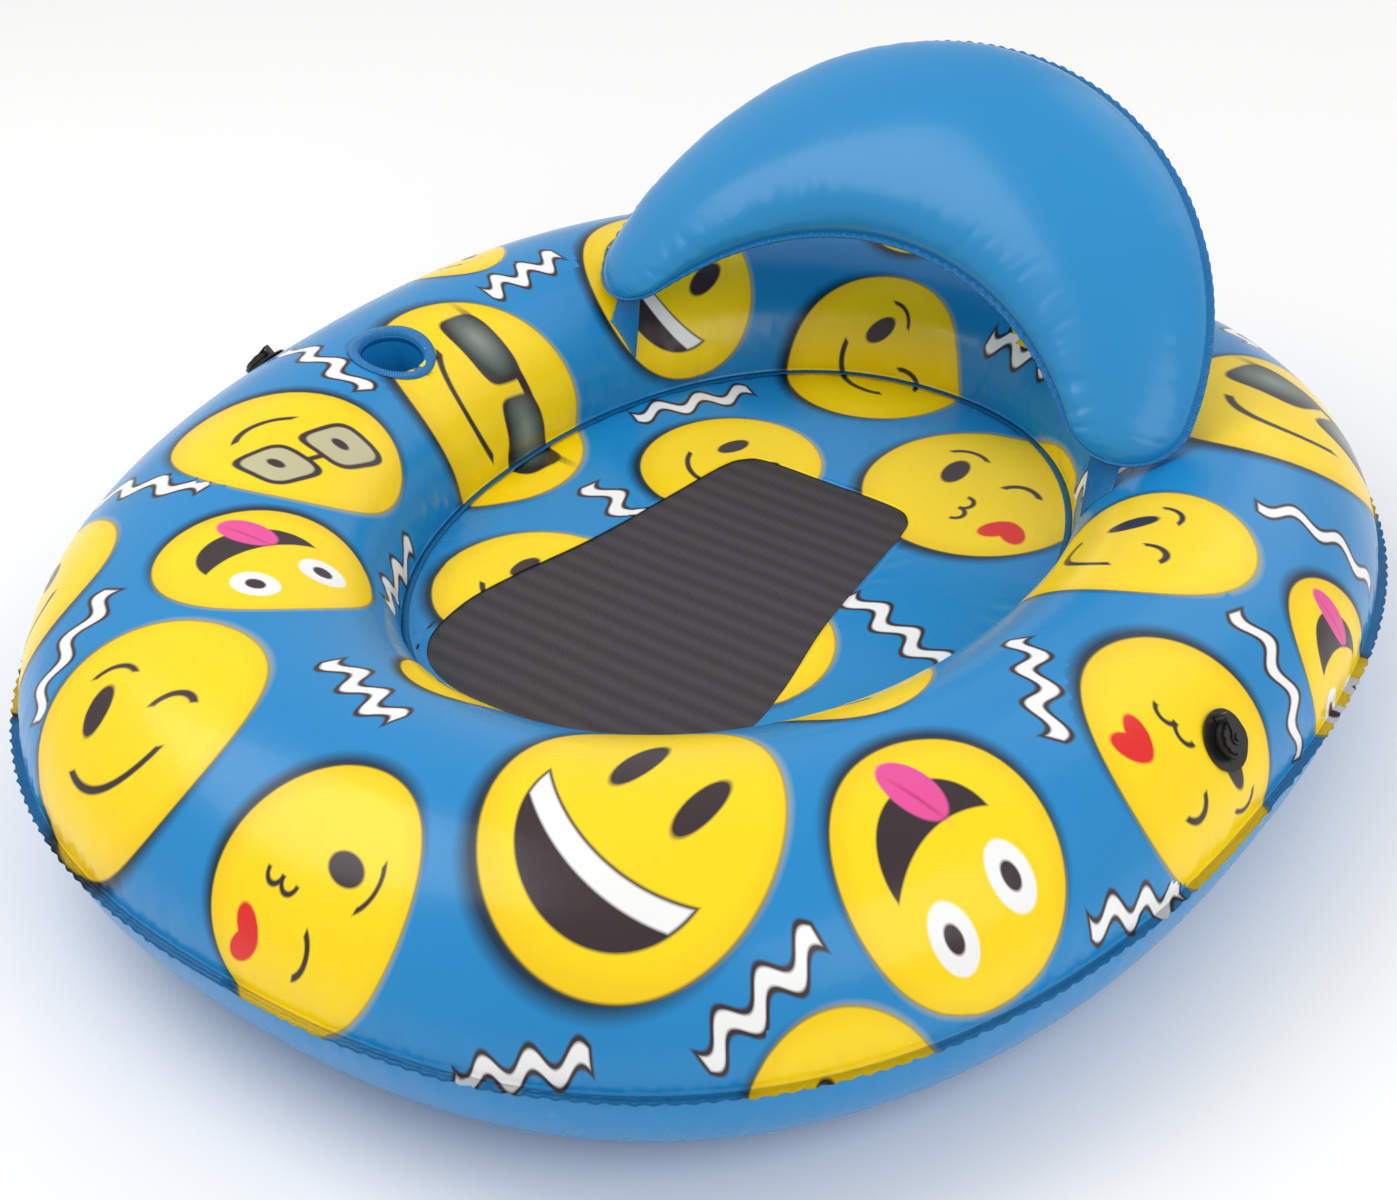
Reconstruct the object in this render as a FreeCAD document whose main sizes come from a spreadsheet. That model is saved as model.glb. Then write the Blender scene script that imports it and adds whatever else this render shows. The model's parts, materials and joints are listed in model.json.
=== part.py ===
import FreeCAD, Part

import math
import os

import Sketcher

# An inflatable water lounge for one person: an oval air ring with a printed top, a seat floor with
# a mesh panel, a crescent backrest welded on at its two tips, a cup holder sunk in the left arm and
# one screw valve on each arm.
# Frame: millimetres, +Z up. The origin is under the middle of the ring, on the surface it rests on.
# +X is the right arm of a person who sits in it, +Y is the backrest end and -Y is the foot end.

SIZES = {
    # ring, measured between the weld lines that join its two sheets
    "ring_length": 1490, "ring_width": 1290, "ring_power": 2.4,
    "well_length": 834, "well_width": 642, "well_power": 2.15, "well_shift": 47,
    "foot_height": 304, "arm_height": 296, "back_height": 257,
    "seat_height": 155, "seat_tilt": 1.8, "rest_band": 60, "rest_press": 0.05,
    "sheet": 1.2, "outer_flange": 11, "inner_flange": 8, "wall_gap": 0.5,
    # mesh panel in the seat floor
    "mesh_front": 335, "mesh_back": 214, "mesh_thigh_width": 376, "mesh_waist_width": 286,
    "mesh_hip_width": 236, "mesh_lap": 12, "mesh_thickness": 0.8,
    # cup holder
    "cup_radius": 36, "cup_depth": 82, "cup_wall": 1.2, "cup_rim_width": 12,
    "cup_side": 444, "cup_forward": 15,
    # screw valves on the arms
    "valve_turn": 3, "valve_climb": 36, "valve_flange_radius": 30, "valve_flange_thickness": 1.5,
    "socket_radius": 17, "socket_bore": 14.5, "socket_height": 7, "socket_depth": 13,
    "insert_radius": 19.5, "insert_top": 11, "insert_bore": 10, "thread_gap": 0.3,
    "flap_radius": 11.5, "flap_thickness": 0.8, "spider_thickness": 1.5,
    "cap_radius": 16, "cap_thickness": 3, "cap_skirt": 6, "cap_skirt_wall": 1.2, "button_radius": 4,
    "button_height": 3, "grip_radius": 2.2, "bite": 1, "tether_width": 7, "tether_thickness": 1.2,
    "tether_reach": 25, "eye_radius": 7.5,
    # backrest
    "crescent_outer_radius": 380, "crescent_inner_radius": 350, "outer_centre_drop": 22,
    "inner_centre_drop": 263, "tip_radius": 62, "backrest_lean": 34.4, "tip_back": 301,
    "tip_height": 310, "puff_share": 0.208, "curl": 0.00045, "dish": 0.00018,
    "backrest_flange": 8, "hinge_back": 250, "hinge_height": 268, "tab_width": 62,
    "tab_length": 46, "tab_clearance": 7,
    # small push-in valve of the backrest
    "stem_radius": 6, "stem_bore": 4, "stem_length": 14, "stem_flange_radius": 15,
    "plug_head_radius": 7, "plug_head_thickness": 2.5, "plug_gap": 0.05, "plug_depth": 4,
}

RING_SECTIONS = 40
RIB_COUNT = 25
FIRST_RIB_MARGIN = 0.004  # radians inside the ray that touches the round tip
CURVE_STEPS = 12
GRIP_COUNT = 10
SPOKE_COUNT = 4
CUTTER_REACH = 20  # how far a cutter passes each side of the sheet it opens

# Climbs round the ring's section are in degrees, from 0 at the outer weld to 180 at the inner one.
CREST_CLIMBS = range(50, 161, 5)  # the part of the top sheet that a welded patch can follow
SECTOR_STEP = 4
CHAMBER_CLIMB = 4  # where a chamber wall starts, clear of the welds
CUP_SECTOR = 24  # degrees of the ring each side of the cup holder that its weld ring may reach
TAB_SECTOR = 80  # degrees of the ring from each arm that a backrest tab may reach

# The right half of the mesh panel, from back to front: (width, its share, length, its share).
MESH_OUTLINE = [
    ("mesh_hip_width", 0.72, "mesh_back", 0.995), ("mesh_hip_width", 0.95, "mesh_back", 0.935),
    ("mesh_hip_width", 1.05, "mesh_back", 0.79), ("mesh_waist_width", 0.95, "mesh_back", 0.37),
    ("mesh_waist_width", 1.06, "mesh_front", -0.09), ("mesh_thigh_width", 0.95, "mesh_front", -0.42),
    ("mesh_thigh_width", 1.0, "mesh_front", -0.64), ("mesh_thigh_width", 0.91, "mesh_front", -0.85),
    ("mesh_thigh_width", 0.61, "mesh_front", -0.97),
]

Vec = FreeCAD.Vector
UP = Vec(0, 0, 1)
JOINED = 1e-6  # points nearer than this are one point

doc = FreeCAD.newDocument("water_lounge")
sheet_of_sizes = doc.addObject("Spreadsheet::Sheet", "Sizes")
for row, (alias, number) in enumerate(SIZES.items(), start=1):
    sheet_of_sizes.set(f"A{row}", alias)
    sheet_of_sizes.set(f"B{row}", str(number))
    sheet_of_sizes.setAlias(f"B{row}", alias)
doc.recompute()

pieces = []


def size(alias):
    """A driving dimension, as the sheet holds it."""
    return float(sheet_of_sizes.get(alias))


def total(text):
    """The value of a sum of named sizes and plain numbers, such as 'cup_radius + sheet'."""
    sign, result = 1, 0.0
    for word in text.split():
        if word in ("+", "-"):
            sign = 1 if word == "+" else -1
        else:
            result += sign * (size(word) if word in SIZES else float(word))
            sign = 1
    return result


def cell(text):
    """The same sum as an expression on the sheet's cells."""
    return " ".join(f"Sizes.{word}" if word in SIZES else word for word in text.split())


# ---- helpers for pieces made of sketches ----

def new_body(name):
    body = doc.addObject("PartDesign::Body", name)
    body.Label = name
    pieces.append(body)
    return body


def origin_item(body, role):
    return next(item for item in body.Origin.OriginFeatures if item.Role == role)


def attach(sketch, body, role):
    sketch.AttachmentSupport = [(origin_item(body, role), "")]
    sketch.MapMode = "FlatFace"


def polygon_sketch(body, name, corners, role="XZ_Plane"):
    """A closed outline whose corners are sums of named sizes: (across, up) from the origin."""
    sketch = body.newObject("Sketcher::SketchObject", name)
    attach(sketch, body, role)
    points = [Vec(total(across), total(up), 0) for across, up in corners]
    count = len(points)
    for index in range(count):
        sketch.addGeometry(Part.LineSegment(points[index], points[(index + 1) % count]))
    for index in range(count):
        sketch.addConstraint(Sketcher.Constraint("Coincident", index, 2, (index + 1) % count, 1))
    for index, corner in enumerate(corners):
        for kind, text, value in zip(("DistanceX", "DistanceY"), corner, points[index]):
            number = sketch.addConstraint(Sketcher.Constraint(kind, -1, 1, index, 1, value))
            sketch.setExpression(f"Constraints[{number}]", cell(text))
    return sketch


def circle_sketch(body, name, radius, across="0", role="XY_Plane"):
    """One circle centred on the sketch's X axis."""
    sketch = body.newObject("Sketcher::SketchObject", name)
    attach(sketch, body, role)
    sketch.addGeometry(Part.Circle(Vec(total(across), 0, 0), UP, total(radius)))
    bound = (("Radius", (0, total(radius)), radius),
             ("DistanceX", (-1, 1, 0, 3, total(across)), across),
             ("DistanceY", (-1, 1, 0, 3, 0.0), "0"))
    for kind, arguments, text in bound:
        number = sketch.addConstraint(Sketcher.Constraint(kind, *arguments))
        sketch.setExpression(f"Constraints[{number}]", cell(text))
    return sketch


def revolve(body, sketch, name="turned"):
    feature = body.newObject("PartDesign::Revolution", name)
    feature.Profile = sketch
    feature.ReferenceAxis = (sketch, ["V_Axis"])
    feature.Angle = 360
    sketch.Visibility = False
    return feature


def turned_body(name, corners):
    """A round piece about its own +Z, from a profile of (radius, height) corners."""
    body = new_body(name)
    revolve(body, polygon_sketch(body, name + "_profile", corners))
    return body


def centred_pad(body, sketch, name, length):
    feature = body.newObject("PartDesign::Pad", name)
    feature.Profile = sketch
    feature.Midplane = True
    feature.setExpression("Length", cell(length))
    return feature


def feature_piece(name, shape):
    """A piece with a free-form shape."""
    piece = doc.addObject("Part::Feature", name)
    piece.Label = name
    piece.Shape = shape
    pieces.append(piece)
    return piece


def line(start, end):
    return Part.LineSegment(start, end).toShape()


def smooth(points, closed=False):
    curve = Part.BSplineCurve()
    curve.interpolate(points, PeriodicFlag=closed)
    return curve.toShape()


def closed_wire(*runs):
    """One closed outline: long runs of points are smooth, and what joins them is straight."""
    edges = []
    for run, following in zip(runs, runs[1:] + runs[:1]):
        edges.append(smooth(run) if len(run) > 2 else line(*run))
        if (following[0] - run[-1]).Length > JOINED:
            edges.append(line(run[-1], following[0]))
    return Part.Wire(edges)


# ---- the ring's geometry ----

def oval(angle, half_width, half_length, power):
    """A point of a squarish oval: power 2 is an ellipse."""
    def bent(value):
        return math.copysign(abs(value) ** (2 / power), value) if abs(value) > 1e-9 else 0.0
    return Vec(half_width * bent(math.cos(angle)), half_length * bent(math.sin(angle)), 0)


def ring_height(angle):
    """Foot end, arms and back end have their own heights, with an even change between them."""
    along = math.sin(angle)
    foot, arm, back = size("foot_height"), size("arm_height"), size("back_height")
    return arm + (back - foot) / 2 * along + ((back + foot) / 2 - arm) * along ** 2


def floor_level(y):
    """The seat floor is a plane that drops gently towards the back."""
    return size("seat_height") - math.tan(math.radians(size("seat_tilt"))) * (y - size("well_shift"))


def seam_points(angle):
    """The outer and the inner weld line at one station round the ring."""
    outer = oval(angle, size("ring_width") / 2, size("ring_length") / 2, size("ring_power"))
    inner = oval(angle, size("well_width") / 2, size("well_length") / 2, size("well_power"))
    inner.y += size("well_shift")
    outer.z = ring_height(angle) / 2
    inner.z = floor_level(inner.y)
    return outer, inner


class Station:
    """One upright cut through the ring: positions in it are (across, height)."""

    def __init__(self, angle):
        self.outer, self.inner = seam_points(angle)
        flat = Vec(self.outer.x - self.inner.x, self.outer.y - self.inner.y, 0)
        self.half = flat.Length / 2
        self.out = flat.normalize()
        self.middle = Vec((self.outer.x + self.inner.x) / 2, (self.outer.y + self.inner.y) / 2, 0)
        self.height = ring_height(angle)

    def place(self, across, height):
        return self.middle + self.out * across + UP * height

    def skin(self, climb, side, inset, quarter=None):
        """A point of a sheet. The quarter is +1 on the outer side of the crest and -1 inside it."""
        quarter = quarter or (1 if climb <= 90 else -1)
        seam = self.outer.z if quarter > 0 else self.inner.z
        tilt = math.radians(climb)
        land = size("rest_band") / 2 if side < 0 else 0.0
        reach = self.height - seam if side > 0 else seam + size("rest_press")
        across = (self.half - inset - land) * math.cos(tilt) + quarter * land
        return self.place(across, seam + side * (reach - inset) * math.sin(tilt))

    def arc(self, side, inset, start, end):
        """Points of a sheet over one quarter of the section."""
        quarter = 1 if start + end < 180 else -1
        steps = [start + (end - start) * step / CURVE_STEPS for step in range(CURVE_STEPS + 1)]
        return [self.skin(climb, side, inset, quarter) for climb in steps]

    def flanges(self, side):
        """The ends of the outer and the inner flange, each as (on the weld plane, off it)."""
        wide, narrow = self.half + size("outer_flange"), self.half + size("inner_flange")
        off = side * size("sheet")
        return ([self.place(wide, self.outer.z), self.place(wide, self.outer.z + off)],
                [self.place(-narrow, self.inner.z + off), self.place(-narrow, self.inner.z)])


def sheet_section(angle, side):
    """The closed outline of the top (+1) or bottom (-1) sheet in one cut, flanges included."""
    cut = Station(angle)
    thick = size("sheet")
    outer_end, inner_end = cut.flanges(side)
    lift = math.degrees(math.asin(thick / (cut.height / 2)))
    outside_out, outside_in = cut.arc(side, 0, lift, 90), cut.arc(side, 0, 90, 180 - lift)
    outside_out[0].z, outside_in[-1].z = outer_end[1].z, inner_end[0].z
    inside_in, inside_out = cut.arc(side, thick, 180, 90), cut.arc(side, thick, 90, 0)
    return closed_wire(outer_end, outside_out, outside_in, inner_end, inside_in, inside_out)


def ring_sheet(side):
    start = -math.pi / 2
    wires = [sheet_section(start + 2 * math.pi * step / RING_SECTIONS, side)
             for step in range(RING_SECTIONS)]
    return Part.makeLoft(wires, True, False, True)


def surface_frame(angle, climb):
    """A placement on the top sheet with its Z along the outward normal and X pointing up the arm."""
    step = 0.5
    point = Station(angle).skin(climb, 1, 0)
    up_hill = Station(angle).skin(climb + step, 1, 0) - Station(angle).skin(climb - step, 1, 0)
    nudge = math.radians(step)
    along = Station(angle + nudge).skin(climb, 1, 0) - Station(angle - nudge).skin(climb, 1, 0)
    normal = along.cross(up_hill)
    if normal.z < 0:
        normal = normal * -1
    turn = FreeCAD.Rotation(up_hill.normalize(), Vec(), normal.normalize(), "ZXY")
    return FreeCAD.Placement(point, turn)


# ---- seat floor and mesh panel ----

def slab(wire, depth):
    return Part.Face(wire).extrude(UP * -depth)


def on_floor(x, y, drop):
    return Vec(x, y, floor_level(y) - drop)


def well_wire(inset, drop):
    stations = [2 * math.pi * step / (2 * RING_SECTIONS) for step in range(2 * RING_SECTIONS)]
    points = []
    for angle in stations:
        point = oval(angle, size("well_width") / 2 - inset, size("well_length") / 2 - inset,
                     size("well_power"))
        points.append(on_floor(point.x, point.y + size("well_shift"), drop))
    return Part.Wire([smooth(points, True)])


def mesh_wire(lap, drop):
    """The pear-shaped mesh panel, wider under the thighs, grown by lap all round."""
    right = []
    for width, width_share, length, length_share in MESH_OUTLINE:
        grown_width, grown_length = size(width) / 2 + lap, size(length) + lap
        right.append((grown_width * width_share, grown_length * length_share))
    left = [(-x, y) for x, y in reversed(right)]
    outline = [(0, size("mesh_back") + lap)] + right + [(0, -size("mesh_front") - lap)] + left
    return Part.Wire([smooth([on_floor(x, y, drop) for x, y in outline], True)])


# ---- backrest geometry: a crescent pillow, in its own plane across (u) and up the slope (v) ----

def tip_centre():
    """The middle of the rounded tip, on the fillet between the two arcs."""
    reach_out = size("crescent_outer_radius") - size("tip_radius")
    reach_in = size("crescent_inner_radius") + size("tip_radius")
    apart = size("inner_centre_drop") - size("outer_centre_drop")
    rise = (reach_in ** 2 - reach_out ** 2 + apart ** 2) / (2 * apart)
    return math.sqrt(reach_in ** 2 - rise ** 2), rise - size("inner_centre_drop")


def ray_hits(origin, direction, centre, radius):
    """Distances along a ray to a circle: near and far, or None if it misses."""
    to_centre = (centre[0] - origin[0], centre[1] - origin[1])
    along = to_centre[0] * direction[0] + to_centre[1] * direction[1]
    gap = to_centre[0] ** 2 + to_centre[1] ** 2 - along ** 2
    if gap > radius ** 2:
        return None
    half_chord = math.sqrt(radius ** 2 - gap)
    return along - half_chord, along + half_chord


class Rib:
    """One cut across the crescent along a ray from the point between the two arcs' centres."""

    def __init__(self, angle):
        hub = (0, -(size("outer_centre_drop") + size("inner_centre_drop")) / 2)
        tip_u, tip_v = tip_centre()
        direction = (math.cos(angle), math.sin(angle))
        outer = ray_hits(hub, direction, (0, -size("outer_centre_drop")), size("crescent_outer_radius"))
        inner = ray_hits(hub, direction, (0, -size("inner_centre_drop")), size("crescent_inner_radius"))
        self.near, self.far = inner[1], outer[1]
        side = 1 if direction[0] > 0 else -1
        tip = ray_hits(hub, direction, (side * tip_u, tip_v), size("tip_radius"))
        tip_out = math.atan2(tip_v + size("outer_centre_drop"), tip_u)
        tip_in = math.atan2(tip_v + size("inner_centre_drop"), tip_u)
        slope = math.atan2(hub[1] + self.far * direction[1] + size("outer_centre_drop"),
                           abs(self.far * direction[0]))
        if tip and slope < tip_out:
            self.far = tip[1]
        slope = math.atan2(hub[1] + self.near * direction[1] + size("inner_centre_drop"),
                           abs(self.near * direction[0]))
        if tip and slope < tip_in:
            self.near = tip[0]
        self.hub, self.direction = hub, direction
        self.width = self.far - self.near

    def place(self, along, puff):
        u = self.hub[0] + along * self.direction[0]
        v = self.hub[1] + along * self.direction[1]
        return backrest_point(u, v, puff)


def backrest_point(u, v, puff):
    """From the crescent's own plane to the frame, with its gentle curl and dish."""
    lean = math.radians(size("backrest_lean"))
    tip_u = tip_centre()[0]
    lift = size("curl") * (tip_u ** 2 - u ** 2) - size("dish") * (v - tip_centre()[1]) ** 2
    rise = v - tip_centre()[1]
    up_slope, normal = Vec(0, math.cos(lean), math.sin(lean)), Vec(0, -math.sin(lean), math.cos(lean))
    return Vec(u, size("tip_back"), size("tip_height")) + up_slope * rise + normal * (lift + puff)


def first_rib_angle():
    """The ray that just touches the round end of the tip."""
    tip_u, tip_v = tip_centre()
    drop = tip_v + (size("outer_centre_drop") + size("inner_centre_drop")) / 2
    return math.atan2(drop, tip_u) - math.asin(size("tip_radius") / math.hypot(tip_u, drop))


def backrest_section(rib, side):
    """The closed outline of the front (+1) or back (-1) sheet of the crescent in one cut."""
    thick, rim = size("sheet"), size("backrest_flange")
    middle, half = (rib.near + rib.far) / 2, rib.width / 2
    puff = size("puff_share") * rib.width + thick
    span = [math.pi * step / (2 * CURVE_STEPS) for step in range(2 * CURVE_STEPS + 1)]
    outside = [rib.place(middle + half * math.cos(turn), side * max(puff * math.sin(turn), thick))
               for turn in span]
    inside = [rib.place(middle + (half - thick) * math.cos(turn), side * (puff - thick) * math.sin(turn))
              for turn in reversed(span)]
    tip_high, tip_low = rib.place(rib.far + rim, side * thick), rib.place(rib.far + rim, 0)
    heel_high, heel_low = rib.place(rib.near - rim, side * thick), rib.place(rib.near - rim, 0)
    return closed_wire([tip_low, tip_high], outside, [heel_high, heel_low], inside)


def backrest_sheet(side):
    """Ribs gather towards the tips, so that the round ends keep their shape."""
    least = first_rib_angle() + FIRST_RIB_MARGIN
    sections = []
    for step in range(RIB_COUNT):
        share = step / (RIB_COUNT - 1)
        angle = math.pi / 2 + (math.pi / 2 - least) * math.sin(math.pi * (share - 0.5))
        sections.append(backrest_section(Rib(angle), side))
    return Part.makeLoft(sections, True, False)


# ---- the ring, its walls and its floor ----

def box(corner, opposite):
    return Part.makeBox(*(opposite - corner), corner)


def upright_hole(radius, place, low, high):
    """A cutter about a placement's own axis."""
    cutter = Part.makeCylinder(radius, high - low, Vec(0, 0, low), UP)
    cutter.Placement = place
    return cutter


ring_top = size("foot_height") + size("arm_height")
span_x, span_y = size("ring_width"), size("ring_length")
below_ground = box(Vec(-span_x, -span_y, -CUTTER_REACH), Vec(span_x, span_y, 0))
top_shape = ring_sheet(1)
bottom_shape = ring_sheet(-1).cut(below_ground)

valve_places = {}
for side_name, angle in (("right", -math.radians(size("valve_turn"))),
                         ("left", math.pi + math.radians(size("valve_turn")))):
    valve_places[side_name] = surface_frame(angle, size("valve_climb"))

socket_room = size("socket_radius") + size("wall_gap")
for place in valve_places.values():
    top_shape = top_shape.cut(upright_hole(socket_room, place, -CUTTER_REACH, CUTTER_REACH))
cup_place = FreeCAD.Placement(Vec(-size("cup_side"), -size("cup_forward"), 0), FreeCAD.Rotation())
cup_outside = size("cup_radius") + size("cup_wall")
top_shape = top_shape.cut(upright_hole(cup_outside + size("wall_gap"), cup_place, size("seat_height"),
                                       ring_top))
feature_piece("ring_top_sheet", top_shape)
feature_piece("ring_bottom_sheet", bottom_shape)


def chamber_wall(name, angle):
    """A wall across the inside of the ring, clear of both sheets by the wall gap."""
    cut = Station(angle)
    inset = size("sheet") + size("wall_gap")
    first = CHAMBER_CLIMB
    face = Part.Face(closed_wire(cut.arc(1, inset, first, 90), cut.arc(1, inset, 90, 180 - first),
                                 cut.arc(-1, inset, 180 - first, 90), cut.arc(-1, inset, 90, first)))
    wall = face.extrude(Vec(size("sheet"), 0, 0))
    wall.translate(Vec(-size("sheet") / 2, 0, 0))
    return feature_piece(name, wall)


chamber_wall("foot_chamber_wall", -math.pi / 2)
chamber_wall("back_chamber_wall", math.pi / 2)

floor_drop = size("sheet")
floor_shape = slab(well_wire(size("wall_gap"), floor_drop), size("sheet"))
mesh_cut = slab(mesh_wire(0, floor_drop - CUTTER_REACH), 2 * CUTTER_REACH)
feature_piece("seat_floor", floor_shape.cut(mesh_cut))
feature_piece("mesh_seat", slab(mesh_wire(size("mesh_lap"), floor_drop + size("sheet")),
                                size("mesh_thickness")))

# ---- cup holder ----

def raised_section(angle, low_gap, high_gap):
    """A strip that follows the crest of the top sheet, between two gaps above it."""
    cut = Station(angle)
    low = [cut.skin(climb, 1, -low_gap) for climb in CREST_CLIMBS]
    high = [cut.skin(climb, 1, -high_gap) for climb in reversed(CREST_CLIMBS)]
    return closed_wire(low, high)


def crest_layer(angles, low_gap, high_gap):
    """A layer over the crest, through the cuts at these angles."""
    return Part.makeLoft([raised_section(angle, low_gap, high_gap) for angle in angles], True, False)


def conforming_patch(angles, cutter):
    """A patch of sheet laid on the ring's crest and trimmed to a cutter's outline."""
    return crest_layer(angles, size("thread_gap"), size("thread_gap") + size("sheet")).common(cutter)


cup_cut = Station(math.pi)
cup_climb = math.degrees(math.acos((size("cup_side") - cup_cut.middle.Length) / cup_cut.half))
cup_bottom = cup_cut.skin(cup_climb, 1, 0).z - size("cup_depth")
cup_angles = [math.pi + math.radians(step) for step in range(-CUP_SECTOR, CUP_SECTOR + 1, SECTOR_STEP)]
cup_tube = upright_hole(cup_outside, cup_place, cup_bottom, ring_top)
cup_tube = cup_tube.cut(upright_hole(size("cup_radius"), cup_place, cup_bottom, ring_top))
over_cup = crest_layer(angles=cup_angles, low_gap=0, high_gap=2 * size("cup_depth"))
cup_tube = min(cup_tube.cut(over_cup).Solids, key=lambda solid: solid.BoundBox.ZMin)
feature_piece("cup_wall", cup_tube)
cup_base = turned_body("cup_base", [
    ("0", "0"), ("cup_radius + cup_wall", "0"), ("cup_radius + cup_wall", "cup_wall"), ("0", "cup_wall")])
cup_base.Placement = FreeCAD.Placement(
    Vec(cup_place.Base.x, cup_place.Base.y, cup_bottom - size("cup_wall")), FreeCAD.Rotation())
cup_ring = upright_hole(cup_outside + size("cup_rim_width"), cup_place, cup_bottom, ring_top)
cup_ring = cup_ring.cut(upright_hole(cup_outside + size("thread_gap"), cup_place, 0, ring_top))
feature_piece("cup_rim", conforming_patch(cup_angles, cup_ring))


# ---- screw valves ----

def valve(side_name, place):
    """One valve: welded base, screw-in body with its flap, and a screw cap on a tether."""
    base = turned_body(f"{side_name}_valve_base", [
        ("socket_bore", "0 - socket_depth"), ("socket_radius", "0 - socket_depth"),
        ("socket_radius", "thread_gap"), ("valve_flange_radius", "thread_gap"),
        ("valve_flange_radius", "thread_gap + valve_flange_thickness"),
        ("socket_radius", "thread_gap + valve_flange_thickness"), ("socket_radius", "socket_height"),
        ("socket_bore", "socket_height")])
    body = turned_body(f"{side_name}_valve_body", [
        ("insert_bore", "0 - socket_depth"), ("socket_bore - thread_gap", "0 - socket_depth"),
        ("socket_bore - thread_gap", "socket_height + thread_gap"),
        ("insert_radius", "socket_height + thread_gap"), ("insert_radius", "insert_top"),
        ("insert_bore", "insert_top")])
    spoke = polygon_sketch(body, f"{side_name}_spoke_outline", [
        ("0", "0 - socket_depth"), ("insert_bore + bite", "0 - socket_depth"),
        ("insert_bore + bite", "spider_thickness - socket_depth"),
        ("0", "spider_thickness - socket_depth")])
    centred_pad(body, spoke, f"{side_name}_spoke", "spider_thickness + spider_thickness")
    doc.recompute()
    ring_of_spokes = body.newObject("PartDesign::PolarPattern", f"{side_name}_spokes")
    ring_of_spokes.Originals = [doc.getObject(f"{side_name}_spoke")]
    ring_of_spokes.Axis = (origin_item(body, "Z_Axis"), [""])
    ring_of_spokes.Angle = 360
    ring_of_spokes.Occurrences = SPOKE_COUNT
    body.Tip = ring_of_spokes
    flap = turned_body(f"{side_name}_valve_flap", [
        ("0", "0 - socket_depth - flap_thickness"), ("flap_radius", "0 - socket_depth - flap_thickness"),
        ("flap_radius", "0 - socket_depth"), ("0", "0 - socket_depth")])
    cap = turned_body(f"{side_name}_valve_cap", [
        ("0", "insert_top + thread_gap"),
        ("insert_bore - thread_gap - cap_skirt_wall", "insert_top + thread_gap"),
        ("insert_bore - thread_gap - cap_skirt_wall", "insert_top - cap_skirt"),
        ("insert_bore - thread_gap", "insert_top - cap_skirt"),
        ("insert_bore - thread_gap", "insert_top + thread_gap"),
        ("cap_radius", "insert_top + thread_gap"), ("cap_radius", "insert_top + cap_thickness"),
        ("button_radius", "insert_top + cap_thickness"),
        ("button_radius", "insert_top + cap_thickness + button_height"),
        ("0", "insert_top + cap_thickness + button_height")])
    grip = circle_sketch(cap, f"{side_name}_grip_outline", "grip_radius", "cap_radius + bite")
    notch = cap.newObject("PartDesign::Pocket", f"{side_name}_grip")
    notch.Profile = grip
    notch.Type = "ThroughAll"
    notch.Midplane = True
    doc.recompute()
    ring_of_grips = cap.newObject("PartDesign::PolarPattern", f"{side_name}_grips")
    ring_of_grips.Originals = [notch]
    ring_of_grips.Axis = (origin_item(cap, "Z_Axis"), [""])
    ring_of_grips.Angle = 360
    ring_of_grips.Occurrences = GRIP_COUNT
    cap.Tip = ring_of_grips
    tether = tether_body(side_name)
    for piece in (base, body, flap, cap, tether):
        piece.Placement = place


def tether_body(side_name):
    """A collar on the base's socket, a strap up and over, and an eye on the cap's button."""
    body = turned_body(f"{side_name}_valve_tether", [
        ("socket_radius + thread_gap", "thread_gap + valve_flange_thickness + thread_gap"),
        ("insert_radius + bite", "thread_gap + valve_flange_thickness + thread_gap"),
        ("insert_radius + bite", "thread_gap + valve_flange_thickness + thread_gap + tether_thickness"),
        ("socket_radius + thread_gap",
         "thread_gap + valve_flange_thickness + thread_gap + tether_thickness")])
    low = "thread_gap + valve_flange_thickness + thread_gap"
    high = "insert_top + cap_thickness + thread_gap"
    strap = polygon_sketch(body, f"{side_name}_strap_outline", [
        ("insert_radius", low), ("tether_reach", low),
        ("tether_reach", high + " + tether_thickness"),
        ("button_radius + bite", high + " + tether_thickness"), ("button_radius + bite", high),
        ("tether_reach - tether_thickness", high),
        ("tether_reach - tether_thickness", low + " + tether_thickness"),
        ("insert_radius", low + " + tether_thickness")])
    centred_pad(body, strap, f"{side_name}_strap", "tether_width")
    eye = polygon_sketch(body, f"{side_name}_eye_outline", [
        ("button_radius + thread_gap", high), ("eye_radius", high),
        ("eye_radius", high + " + tether_thickness"),
        ("button_radius + thread_gap", high + " + tether_thickness")])
    revolve(body, eye, f"{side_name}_eye")
    return body


for side_name, place in valve_places.items():
    valve(side_name, place)

# ---- backrest ----

front_shape = backrest_sheet(1)
back_shape = backrest_sheet(-1)

stem_v = size("crescent_inner_radius") - size("inner_centre_drop")
stem_v += (size("crescent_outer_radius") - size("outer_centre_drop") - stem_v) / 2
crown = Rib(math.pi / 2)
stem_puff = size("puff_share") * crown.width + size("sheet")
stem_point = backrest_point(0, stem_v, -stem_puff)
stem_slope = backrest_point(0, stem_v + 1, 0) - backrest_point(0, stem_v - 1, 0)
stem_axis = Vec(1, 0, 0).cross(stem_slope).normalize() * -1
stem_turn = FreeCAD.Rotation(Vec(1, 0, 0), Vec(), stem_axis, "ZXY")
stem_place = FreeCAD.Placement(stem_point, stem_turn)
stem_hole = upright_hole(size("stem_radius") + size("wall_gap"), stem_place, -CUTTER_REACH, CUTTER_REACH)
feature_piece("backrest_front_sheet", front_shape)
feature_piece("backrest_back_sheet", back_shape.cut(stem_hole))

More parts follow.
